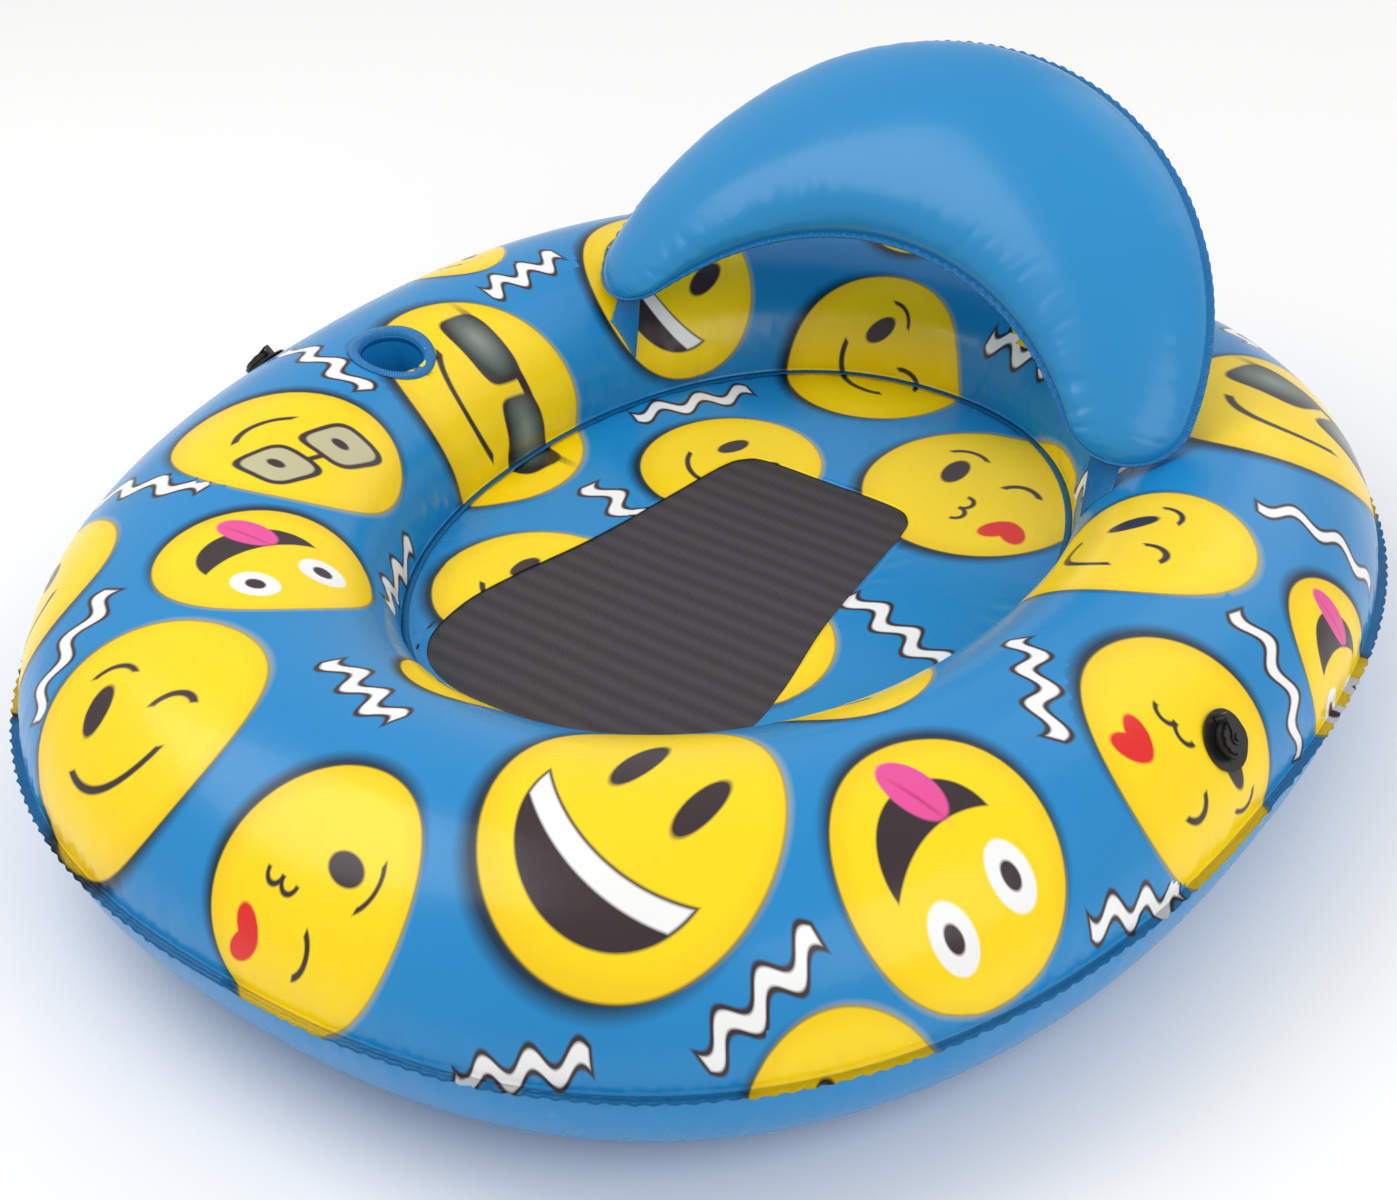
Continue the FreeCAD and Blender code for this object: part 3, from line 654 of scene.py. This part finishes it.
def vinyl(name, colour, roughness=0.26, drawing=None, ribs=False):
    """Glossy welded vinyl: a slightly uneven gloss, soft ripples and a very fine grain."""
    finish, tree, shader = new_finish(name)
    if drawing:
        sketch = Sketch(tree, colour)
        drawing(sketch)
        colour = sketch.colour
    patches = object_noise(tree, 5, 2)
    tree.links.new(shaded(tree, colour, patches, 0.06), shader.inputs["Base Color"])
    gloss = tree.nodes.new("ShaderNodeMapRange")
    gloss.inputs["To Min"].default_value = roughness - 0.05
    gloss.inputs["To Max"].default_value = roughness + 0.07
    tree.links.new(object_noise(tree, 14, 3), gloss.inputs["Value"])
    tree.links.new(gloss.outputs[0], shader.inputs["Roughness"])
    shader.inputs["Specular IOR Level"].default_value = 0.34
    shader.inputs["Coat Weight"].default_value = 0.12
    shader.inputs["Coat Roughness"].default_value = 0.10
    relief = [(object_noise(tree, 22, 2), 0.16, 0.0025),
              (object_noise(tree, 1400, 2), VINYL_GRAIN, 0.0002)]
    if ribs:
        relief.append((weld_ribs(tree), 0.8, 0.0006))
    bump(tree, shader, relief)
    return finish


def weld_ribs(tree):
    """Fine cross ribs that the welding tool presses along a weld."""
    place = tree.nodes.new("ShaderNodeUVMap")
    place.uv_map = "weld"
    parts = tree.nodes.new("ShaderNodeSeparateXYZ")
    tree.links.new(place.outputs[0], parts.inputs[0])
    return (Number(tree, parts.outputs[0]) * (TURN / RIB_PITCH)).work("SINE").socket


PRINTED_VINYL = [vinyl(f"printed_vinyl_{kind}", BLUE, drawing=DRAWINGS.get(kind)) for kind in KINDS]
RING_VINYL = vinyl("plain_ring_vinyl", BLUE)
BACKREST_VINYL = vinyl("backrest_vinyl", BACKREST_BLUE, roughness=0.24)


KNIT_PITCH, BAND_PITCH = 0.0036, 0.026


def mesh_finish():
    """Knitted mesh: glossy yarns with the small holes between them painted dark as shade, and faint
    bands across.
    """
    finish, tree, shader = new_finish("seat_mesh_knit")
    place = tree.nodes.new("ShaderNodeTexCoord")
    parts = tree.nodes.new("ShaderNodeSeparateXYZ")
    tree.links.new(place.outputs["Object"], parts.inputs[0])
    x, y = Number(tree, parts.outputs[0]), Number(tree, parts.outputs[1])
    pitch = TURN / KNIT_PITCH
    weave = (x * pitch).work("SINE") * (y * pitch).work("SINE")
    band = ((y * (TURN / BAND_PITCH)).work("SINE") * 0.5 + 0.5) * 0.22
    light = (weave * 0.5 + 0.5) * 0.45 + band
    # The ramp's dark end is painted shade where the holes are and its light end is the yarn's own
    # grey; the bands are a pattern.
    ramp = tree.nodes.new("ShaderNodeValToRGB")
    ramp.color_ramp.elements[0].color = tone(42, 40, 43)
    ramp.color_ramp.elements[1].color = tone(98, 94, 99)
    tree.links.new(light.socket, ramp.inputs[0])
    tree.links.new(ramp.outputs[0], shader.inputs["Base Color"])
    shader.inputs["Roughness"].default_value = 0.62
    shader.inputs["Specular IOR Level"].default_value = 0.25
    bump(tree, shader, [(weave.socket, 0.6, 0.0006), (object_noise(tree, 30, 2), 0.2, 0.002)])
    return finish


def clear_finish():
    """Clear soft vinyl, faintly blue and a little cloudy."""
    finish, tree, shader = new_finish("clear_vinyl_moulding")
    tree.links.new(shaded(tree, tone(205, 226, 240), object_noise(tree, 40, 2), 0.08),
                   shader.inputs["Base Color"])
    shader.inputs["Roughness"].default_value = 0.18
    shader.inputs["Transmission Weight"].default_value = 0.75
    bump(tree, shader, [(object_noise(tree, 300, 2), 0.2, 0.0003)])
    return finish


def moulded(name, colour, roughness):
    """Moulded plastic or rubber with a fine matt grain."""
    finish, tree, shader = new_finish(name)
    tree.links.new(shaded(tree, colour, object_noise(tree, 60, 3), 0.12),
                   shader.inputs["Base Color"])
    shader.inputs["Roughness"].default_value = roughness
    bump(tree, shader, [(object_noise(tree, 2400, 2), 0.25, 0.0001)])
    return finish


WELDED_VINYL = vinyl("welded_vinyl", tone(24, 124, 190), roughness=0.18, ribs=True)
CLEAR_VINYL = clear_finish()
MESH_KNIT = mesh_finish()
BLACK_PLASTIC = moulded("black_valve_plastic", tone(26, 26, 28), 0.34)
RUBBER = moulded("flap_rubber", tone(40, 40, 42), 0.6)


# ---- ring ----

VALVE_HOLE = 0.0175
HOLE_DEPTH = 0.10


def cut_round_hole(bm, radius, axis_point, axis):
    """Opens a round hole in a sheet and draws its edge onto the circle."""
    def off_axis(point):
        away = point - axis_point
        return away - axis * away.dot(axis)

    def near(point):
        return abs((point - axis_point).dot(axis)) < HOLE_DEPTH

    def inside(face):
        middle = face.calc_center_median()
        return near(middle) and off_axis(middle).length < radius

    doomed = [face for face in bm.faces if inside(face)]
    bmesh.ops.delete(bm, geom=doomed, context="FACES")
    for corner in bm.verts:
        if near(corner.co) and corner.is_boundary and off_axis(corner.co).length < 1.5 * radius:
            away = off_axis(corner.co)
            corner.co += away.normalized() * (radius - away.length)


def valve_axes():
    """Where each valve stands on its arm, and which way it points."""
    return [(Vector(joint["pos_m"]), Vector(joint["axis"]).normalized())
            for joint in frame["joints"] if joint["name"].endswith("valve_unscrew")]


def ring_sheet(name, side, rows, materials, node):
    """One of the ring's two sheets: side is 1 for the printed top and -1 for the bottom."""
    strips = ring_strip(side, rows)
    bm = net(RING_COLUMNS, rows + 3, lambda column, row: strips[column][0][row],
             lambda column, row: strips[column][1][row])
    bmesh.ops.remove_doubles(bm, verts=bm.verts, dist=1e-6)
    if side > 0:
        cut_round_hole(bm, CUP_RADIUS + 0.001, CUP_PLACE + UP * ARM_HEIGHT, UP)
        for place, axis in valve_axes():
            cut_round_hole(bm, VALVE_HOLE, place, axis)
        stamp_print(bm)
    piece = new_piece(name, bm, materials)
    thicken(piece, SHEET, -1)
    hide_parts(node)
    charts = [chart for _, chart in strips[:-1]]
    declare_cut([chart[-1] for chart in charts], [chart[0] for chart in charts])
    return piece


ring_top = ring_sheet("ring_top_skin", 1, 50, PRINTED_VINYL, "ring_top_sheet")
ring_sheet("ring_bottom_skin", -1, 36, RING_VINYL, "ring_bottom_sheet")


# ---- seat floor and mesh ----

# The right half of the mesh panel's outline, from the back to the front.
MESH_HALF = [(0.085, 0.213), (0.112, 0.200), (0.124, 0.170), (0.136, 0.080), (0.152, -0.030),
             (0.178, -0.140), (0.187, -0.215), (0.170, -0.285), (0.115, -0.325)]
MESH_BACK, MESH_FRONT = (0.0, 0.214), (0.0, -0.336)
MESH_MIDDLE = Vector((0, -0.05, 0))
MESH_LAP = 0.012
MESH_SHEET = 0.0008
FLOOR_COLUMNS = 300
FLOOR_REACH = 0.33
WELL_STEPS = 720


def smooth_loop(points, steps):
    """A smooth closed curve through points."""
    count, curve = len(points), []
    for index in range(count):
        before, start, end, after = (Vector(points[(index + shift) % count])
                                     for shift in (-1, 0, 1, 2))
        for step in range(steps):
            share = step / steps
            curve.append(0.5 * (2 * start + (end - before) * share
                                + (2 * before - 5 * start + 4 * end - after) * share ** 2
                                + (3 * start - before - 3 * end + after) * share ** 3))
    return curve


def reach_of(loop, angles):
    """How far a loop is from the mesh panel's middle in each direction."""
    polar = sorted((math.atan2(point[1] - MESH_MIDDLE.y, point[0]) % TURN,
                    math.hypot(point[0], point[1] - MESH_MIDDLE.y)) for point in loop)
    polar = [(polar[-1][0] - TURN, polar[-1][1])] + polar + [(polar[0][0] + TURN, polar[0][1])]
    turns, reaches = [item[0] for item in polar], []
    for angle in angles:
        index = bisect.bisect(turns, angle % TURN)
        (low, near), (high, far) = polar[index - 1], polar[index]
        reaches.append(near + (far - near) * (angle % TURN - low) / max(high - low, 1e-9))
    return reaches


FLOOR_ANGLES = [TURN * step / FLOOR_COLUMNS for step in range(FLOOR_COLUMNS + 1)]
MESH_LOOP = [MESH_BACK] + MESH_HALF + [MESH_FRONT] + [(-x, y) for x, y in reversed(MESH_HALF)]
MESH_REACH = reach_of(smooth_loop(MESH_LOOP, 24), FLOOR_ANGLES)
WELL_LOOP = [oval(TURN * step / WELL_STEPS, WELL_HALF_WIDTH, WELL_HALF_LENGTH, WELL_POWER)
             + Vector((0, WELL_SHIFT, 0)) for step in range(WELL_STEPS)]
WELL_REACH = reach_of(WELL_LOOP, FLOOR_ANGLES)


def toward(column, reach):
    """The flat point that far from the mesh panel's middle along a column of the floor."""
    angle = FLOOR_ANGLES[column % FLOOR_COLUMNS]
    return MESH_MIDDLE + Vector((math.cos(angle), math.sin(angle), 0)) * reach


def seat_floor():
    """The printed floor between the mesh and the ring, gathered a little at both welds."""
    rows = 26

    def flat(column, row):
        start, end = MESH_REACH[column], WELL_REACH[column] - WALL_GAP
        return toward(column, start + (end - start) * row / rows)

    def place(column, row):
        spot = flat(column, row)
        to_weld = WELL_REACH[column] - (spot - MESH_MIDDLE).length
        to_mesh = (spot - MESH_MIDDLE).length - MESH_REACH[column]
        along = FLOOR_ANGLES[column % FLOOR_COLUMNS] * FLOOR_REACH
        fade = min(column, FLOOR_COLUMNS - column, 8) / 8
        dip = crease(along, to_weld, 5.5) * math.exp(-to_weld / 0.03) * 0.0022 * fade
        dip += crease(along, to_mesh, 2.5) * math.exp(-to_mesh / 0.02) * 0.0012 * fade
        free = min(to_weld, to_mesh) / 0.01
        ripple = 0.0016 * noise.noise(spot * 9)
        return spot + UP * (floor_level(spot.y) - SHEET - (dip + ripple + 0.001) * min(1, free))

    bm = net(FLOOR_COLUMNS, rows, place, lambda column, row: flat(column, row).xy)
    bmesh.ops.remove_doubles(bm, verts=bm.verts, dist=1e-6)
    stamp_print(bm)
    piece = new_piece("seat_floor_panel", bm, PRINTED_VINYL)
    thicken(piece, SHEET, -1)
    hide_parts("seat_floor")
    declare_cut([flat(column, rows).xy for column in range(FLOOR_COLUMNS)],
                [flat(column, 0).xy for column in range(FLOOR_COLUMNS)])
    return piece


def mesh_panel():
    """The mesh, welded under the floor's edge and slack by a millimetre or two."""
    rows = 40

    def place(column, row):
        spot = toward(column, (MESH_REACH[column] + MESH_LAP) * row / rows)
        wave = 0.0022 * noise.noise(spot * 7) - 0.0015
        slack = wave * min(1.0, (rows - row) / 6)
        return spot + UP * (floor_level(spot.y) - 2 * SHEET - 0.0004 + slack - 0.0005)

    bm = net(FLOOR_COLUMNS, rows, place)
    piece = new_piece("seat_mesh_panel", bm, MESH_KNIT)
    thicken(piece, MESH_SHEET, -1)
    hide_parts("mesh_seat")
    declare_cut([place(column, rows).xy for column in range(FLOOR_COLUMNS)])


floor_piece = seat_floor()
mesh_panel()


# ---- cup holder ----

CUP_COLUMNS = 96
CUP_SHEET = SHEET * 0.8


def crest(x, y):
    """The height of the ring's top skin over a point, found along the cut through it."""
    spot = Vector((x, y, 0))

    def miss(cut):
        return abs((spot - cut.middle).dot(Vector((-cut.out.y, cut.out.x, 0))))

    facing = [cut for cut in STATIONS if (spot - cut.middle).length < cut.half + 0.02]
    cut = min(facing, key=miss)
    across = (spot - cut.middle).dot(cut.out)
    return cut.skin(math.acos(max(-1.0, min(1.0, across / cut.half))), 1).z


def round_the_cup(column, radius):
    """The flat point that far from the cup's axis along a column of its nets."""
    angle = TURN * (column % CUP_COLUMNS) / CUP_COLUMNS
    return CUP_PLACE + Vector((math.cos(angle), math.sin(angle), 0)) * radius


def cup_ring():
    """The pressed weld round the cup's mouth, which follows the arm's crest."""
    profile = [(CUP_RADIUS + CUP_RIM, 0.0006), (CUP_RADIUS + CUP_RIM, 0.0017),
               (CUP_RADIUS + 0.006, 0.0022), (CUP_RADIUS + 0.001, 0.0014),
               (CUP_RADIUS - 0.002, -0.003), (CUP_RADIUS - 0.003, -0.010)]

    def place(column, row):
        radius, lift = profile[row]
        spot = round_the_cup(column, radius)
        return spot + UP * (crest(spot.x, spot.y) + lift)

    bm = net(CUP_COLUMNS, len(profile) - 1, place,
             lambda column, row: (TURN * CUP_RADIUS * column / CUP_COLUMNS, profile[row][0]))
    weld_map(bm)
    piece = new_piece("cup_weld_ring", bm, WELDED_VINYL)
    thicken(piece, CUP_SHEET, -1)
    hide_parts("cup_rim")


def cup_pocket():
    """A soft pocket that hangs from the weld round its mouth."""
    rows, wall_share, inside = 30, 0.72, CUP_RADIUS - 0.0022
    bottom = cup_low.z
    tops = [crest(*round_the_cup(column, inside).xy) - 0.004 for column in range(CUP_COLUMNS)]

    def place(column, row):
        share = row / rows
        if share > wall_share:
            left = (1 - share) / (1 - wall_share)
            sag = 0.0015 * math.sin(math.pi * left)
            return round_the_cup(column, inside * left) + UP * (bottom - sag)
        depth = share / wall_share
        way = round_the_cup(column, 1) - CUP_PLACE
        fold = noise.noise(Vector((way.x * 1.6, way.y * 1.6, depth * 2.2)))
        radius = inside + (0.0022 * fold - 0.0020) * math.sin(math.pi * depth)
        top = tops[column % CUP_COLUMNS]
        return round_the_cup(column, radius) + UP * (top + (bottom - top) * depth)

    piece = new_piece("cup_pocket", net(CUP_COLUMNS, rows, place), RING_VINYL)
    thicken(piece, CUP_SHEET, 1)
    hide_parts("cup_wall", "cup_base")


cup_ring()
cup_pocket()


# ---- backrest ----

CRESCENT_OUTER, CRESCENT_INNER = 0.380, 0.350
OUTER_DROP, INNER_DROP = 0.022, 0.263
TIP_RADIUS = 0.062
LEAN = math.radians(34.4)
TIP_PLACE = Vector((0, 0.301, 0.310))
PUFF_SHARE = 0.208
CURL, DISH = 0.45, 0.18
FAR_GATHER, FAR_FADE = 0.0018, 0.016
NEAR_GATHER, NEAR_FADE = 0.0024, 0.018
BACKREST_FLANGE = 0.0075
BACKREST_CRIMP = 0.0135
BACKREST_COLUMNS = 300
UP_SLOPE = Vector((0, math.cos(LEAN), math.sin(LEAN)))
PILLOW_NORMAL = Vector((0, -math.sin(LEAN), math.cos(LEAN)))
HUB = Vector((0, -(OUTER_DROP + INNER_DROP) / 2))


def tip_centre():
    """The middle of the right tip's round end, in the crescent's own plane."""
    reach_out, reach_in = CRESCENT_OUTER - TIP_RADIUS, CRESCENT_INNER + TIP_RADIUS
    apart = INNER_DROP - OUTER_DROP
    rise = (reach_in ** 2 - reach_out ** 2 + apart ** 2) / (2 * apart)
    return Vector((math.sqrt(reach_in ** 2 - rise ** 2), rise - INNER_DROP))


TIP = tip_centre()


def ray_hits(direction, centre, radius):
    """Near and far distances from the hub to a circle."""
    along = (centre - HUB).dot(direction)
    half_chord = math.sqrt(max(0.0, radius ** 2 - (centre - HUB).length_squared + along ** 2))
    return along - half_chord, along + half_chord


def slope(point, drop_to_centre):
    """How steeply a point of the crescent lies above the centre of one of its arcs."""
    return math.atan2(point.y + drop_to_centre, abs(point.x))


class Rib:
    """One cut across the crescent along a ray from the hub."""

    def __init__(self, angle):
        self.direction = Vector((math.cos(angle), math.sin(angle)))
        side = 1 if self.direction.x > 0 else -1
        self.near = ray_hits(self.direction, Vector((0, -INNER_DROP)), CRESCENT_INNER)[1]
        self.far = ray_hits(self.direction, Vector((0, -OUTER_DROP)), CRESCENT_OUTER)[1]
        tip = ray_hits(self.direction, Vector((side * TIP.x, TIP.y)), TIP_RADIUS)
        far_point, near_point = HUB + self.direction * self.far, HUB + self.direction * self.near
        if slope(far_point, OUTER_DROP) < slope(TIP, OUTER_DROP):
            self.far = tip[1]
        if slope(near_point, INNER_DROP) < slope(TIP, INNER_DROP):
            self.near = tip[0]

    def flat(self, along):
        return HUB + self.direction * along


def pillow_place(flat, puff):
    """From the crescent's own plane to the frame, with its gentle curl and dish."""
    rise = flat.y - TIP.y
    lift = CURL * (TIP.x ** 2 - flat.x ** 2) - DISH * rise ** 2
    across = Vector((flat.x, TIP_PLACE.y, TIP_PLACE.z))
    return across + UP_SLOPE * rise + PILLOW_NORMAL * (lift + puff)


TO_TIP = TIP - HUB
FIRST_RIB = math.atan2(TO_TIP.y, TO_TIP.x) - math.asin(TIP_RADIUS / TO_TIP.length) + 0.0005
RIBS = [Rib(math.pi / 2 - (math.pi / 2 - FIRST_RIB) * math.cos(math.pi * step / BACKREST_COLUMNS))
        for step in range(BACKREST_COLUMNS + 1)]
FAR_LENGTHS = loop_lengths([rib.flat(rib.far) for rib in RIBS])
NEAR_LENGTHS = loop_lengths([rib.flat(rib.near) for rib in RIBS])


def pillow_skin(side):
    """The front (side 1) or back (side -1) sheet of the pillow, gathered along its weld."""
    rows = 44
    turns = [math.pi * share for share in spread(rows, 0.35)]

    def place(column, row):
        rib, turn = RIBS[column], turns[row]
        middle, half = (rib.near + rib.far) / 2, (rib.far - rib.near) / 2
        along = middle + half * math.cos(turn)
        to_far, to_near = rib.far - along, along - rib.near
        far_crease = crease(FAR_LENGTHS[column], to_far, 4.4 + side, 0.034)
        near_crease = crease(NEAR_LENGTHS[column], to_near, 8.8 + side, 0.030)
        gather = far_crease * math.exp(-to_far / FAR_FADE) * FAR_GATHER
        gather += near_crease * math.exp(-to_near / NEAR_FADE) * NEAR_GATHER
        swell = 0.002 * noise.noise(Vector((*rib.flat(along) * 7, side)))
        free = min(1.0, min(to_far, to_near) / 0.008)
        puff = PUFF_SHARE * 2 * half * max(0.0, math.sin(turn)) ** 0.86 + (swell - gather) * free
        return pillow_place(rib.flat(along), side * max(puff, 0.0))

    return net(BACKREST_COLUMNS, rows, place)


def backrest_pillow():
    """Both sheets of the backrest as one closed, blown-up pillow."""
    bm = pillow_skin(1)
    back = pillow_skin(-1)
    spare = bpy.data.meshes.new("spare")
    back.to_mesh(spare)
    back.free()
    bm.from_mesh(spare)
    bpy.data.meshes.remove(spare)
    piece = new_piece("backrest_pillow", bm, BACKREST_VINYL, "backrest", 4e-5)
    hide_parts("backrest_front_sheet", "backrest_back_sheet")


def pillow_outline(steps):
    """The crescent's weld line as one closed loop, evenly spaced, with its outward directions."""
    loop = [rib.flat(rib.far) for rib in RIBS]
    loop += [rib.flat(rib.near) for rib in reversed(RIBS)][1:-1]
    loop.append(loop[0].copy())
    lengths = loop_lengths(loop)
    places = []
    for step in range(steps + 1):
        run = lengths[-1] * step / steps
        index = min(max(bisect.bisect(lengths, run), 1), len(loop) - 1)
        span = max(lengths[index] - lengths[index - 1], 1e-9)
        places.append(loop[index - 1].lerp(loop[index], (run - lengths[index - 1]) / span))
    outs = []
    for step in range(steps + 1):
        ahead = places[(step + 2) % steps] - places[(step - 2) % steps]
        outs.append(Vector((ahead.y, -ahead.x)).normalized())
    return places, outs, lengths[-1]


def backrest_weld():
    """The crimped edge where the two sheets are welded together, tucked in under the tips."""
    steps = 1300
    places, outs, length = pillow_outline(steps)
    crimps = round(length / BACKREST_CRIMP)
    widths = [-0.0030, 0.0, 0.0027, 0.0052, BACKREST_FLANGE]

    def place(column, row):
        column %= steps
        share = column / steps
        tucked = max(0.0, min(1.0, (TIP.y - places[column].y) / TIP_RADIUS))
        wave = math.sin(TURN * crimps * share)
        around = math.cos(TURN * share) * 22, math.sin(TURN * share) * 22
        wave += 0.9 * noise.noise(Vector((*around, 3)))
        wave *= 1 - tucked
        width = widths[row] * (1 - 0.6 * tucked if row > 1 else 1)
        if row == len(widths) - 1:
            width *= 0.94 + 0.06 * wave
        height = 0.0011 * wave * min(1.0, max(0.0, width) / 0.004)
        return pillow_place(places[column] + outs[column] * width, height)

    bm = net(steps, len(widths) - 1, place,
             lambda column, row: (length * column / steps, widths[row]))
    weld_map(bm)
    piece = new_piece("backrest_weld_edge", bm, WELDED_VINYL, "backrest")
    thicken(piece, 2 * SHEET, 0)


backrest_pillow()
backrest_weld()


# ---- backrest tabs ----

STRAP_WIDTH = 0.034
STRAP_STEPS = [-0.005, -0.003, 0.0, 0.004, 0.010, 0.017, 0.024]


def backrest_tab(name, side, node):
    """A welded strap from the arm up to the tip of the backrest."""
    columns = 16
    hinge = next(joint for joint in frame["joints"] if joint["name"] == "backrest_fold")
    hinge_y, hinge_z = hinge["pos_m"][1], hinge["pos_m"][2]

    def place(column, row):
        x = side * TIP.x + STRAP_WIDTH * (column / columns - 0.5)
        step = STRAP_STEPS[row]
        y = hinge_y + step
        patch = crest(x, min(y, hinge_y)) + 0.0012
        if step <= -0.003:
            return Vector((x, y, patch))
        under = pillow_place(Vector((x, TIP.y - TIP_RADIUS + 0.004 + max(0.0, step))), -0.004)
        rise = min(1.0, (step + 0.003) / 0.013)
        return Vector((x, y, patch)).lerp(under, rise)

    bm = net(columns, len(STRAP_STEPS) - 1, place,
             lambda column, row: (STRAP_WIDTH * column / columns, STRAP_STEPS[row]))
    weld_map(bm)
    piece = new_piece(name, bm, WELDED_VINYL, None)
    thicken(piece, SHEET, 0)
    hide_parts(node)
    hinge_y - 0.004
    hinge_z - 0.006
    hinge_y + 0.008
    hinge_z + 0.008
    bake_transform(piece)


backrest_tab("right_backrest_strap", 1, "right_backrest_tab")
backrest_tab("left_backrest_strap", -1, "left_backrest_tab")


# ---- finishes of the moulded pieces ----

for node_name, node in frame["nodes"].items():
    finish = RING_VINYL
    if "flap" in node_name:
        finish = RUBBER
    elif "backrest_valve" in node_name:
        finish = CLEAR_VINYL
    elif "valve" in node_name:
        finish = BLACK_PLASTIC
    node.data.materials.clear()
    node.data.materials.append(finish)


# ---- floor, lights and camera ----

# Each light: its name, its place, its size and its power in watts.
LIGHTS = [("key", (-1.6, -1.0, 3.0), 2.2, 40), ("fill", (2.6, -0.6, 2.2), 2.0, 20),
          ("back", (0.6, 2.8, 2.4), 2.4, 12)]
LIT_PLACE = Vector((0, 0, 0.2))


def studio():
    """A pale floor under a soft, nearly white sky, with three large lights."""
    bm = bmesh.new()
    bmesh.ops.create_grid(bm, x_segments=2, y_segments=2, size=12)
    mesh = bpy.data.meshes.new("studio_floor")
    bm.to_mesh(mesh)
    bm.free()
    ground = bpy.data.objects.new("studio_floor", mesh)
    bpy.context.collection.objects.link(ground)
    finish, tree, shader = new_finish("pale_floor")
    tree.links.new(shaded(tree, tone(252, 252, 252), object_noise(tree, 3, 2), 0.006),
                   shader.inputs["Base Color"])
    shader.inputs["Roughness"].default_value = 0.7
    mesh.materials.append(finish)
    world = bpy.context.scene.world or bpy.data.worlds.new("studio")
    bpy.context.scene.world = world
    world.use_nodes = True
    sky = world.node_tree.nodes["Background"]
    sky.inputs[0].default_value = (1.0, 0.99, 0.98, 1)
    sky.inputs[1].default_value = 0.72
    bpy.context.scene.view_settings.view_transform = "Standard"
    for name, place, size, power in LIGHTS:
        light = bpy.data.lights.new(name, "AREA")
        light.size, light.energy = size, power
        lamp = bpy.data.objects.new(name, light)
        bpy.context.collection.objects.link(lamp)
        lamp.location = place
        lamp.rotation_euler = (LIT_PLACE - Vector(place)).to_track_quat("-Z", "Y").to_euler()


def camera():
    """Looks down at the ring from in front of its right arm."""
    azimuth, elevation, roll = (math.radians(angle) for angle in (37.26, 36.20, -2.18))
    target, distance = Vector((-0.0264, -0.0076, 0.1076)), 2.655
    back = Vector((math.sin(azimuth) * math.cos(elevation),
                   -math.cos(azimuth) * math.cos(elevation), math.sin(elevation)))
    lens = bpy.data.cameras.new("camera")
    lens.lens, lens.sensor_width, lens.sensor_fit = 62.48, 36, "HORIZONTAL"
    eye = bpy.data.objects.new("camera", lens)
    bpy.context.collection.objects.link(eye)
    level = back.to_track_quat("Z", "Y").to_matrix().to_4x4()
    rolled = level @ Matrix.Rotation(roll, 4, "Z")
    eye.matrix_world = Matrix.Translation(target + back * distance) @ rolled
    bpy.context.scene.camera = eye


studio()
camera()
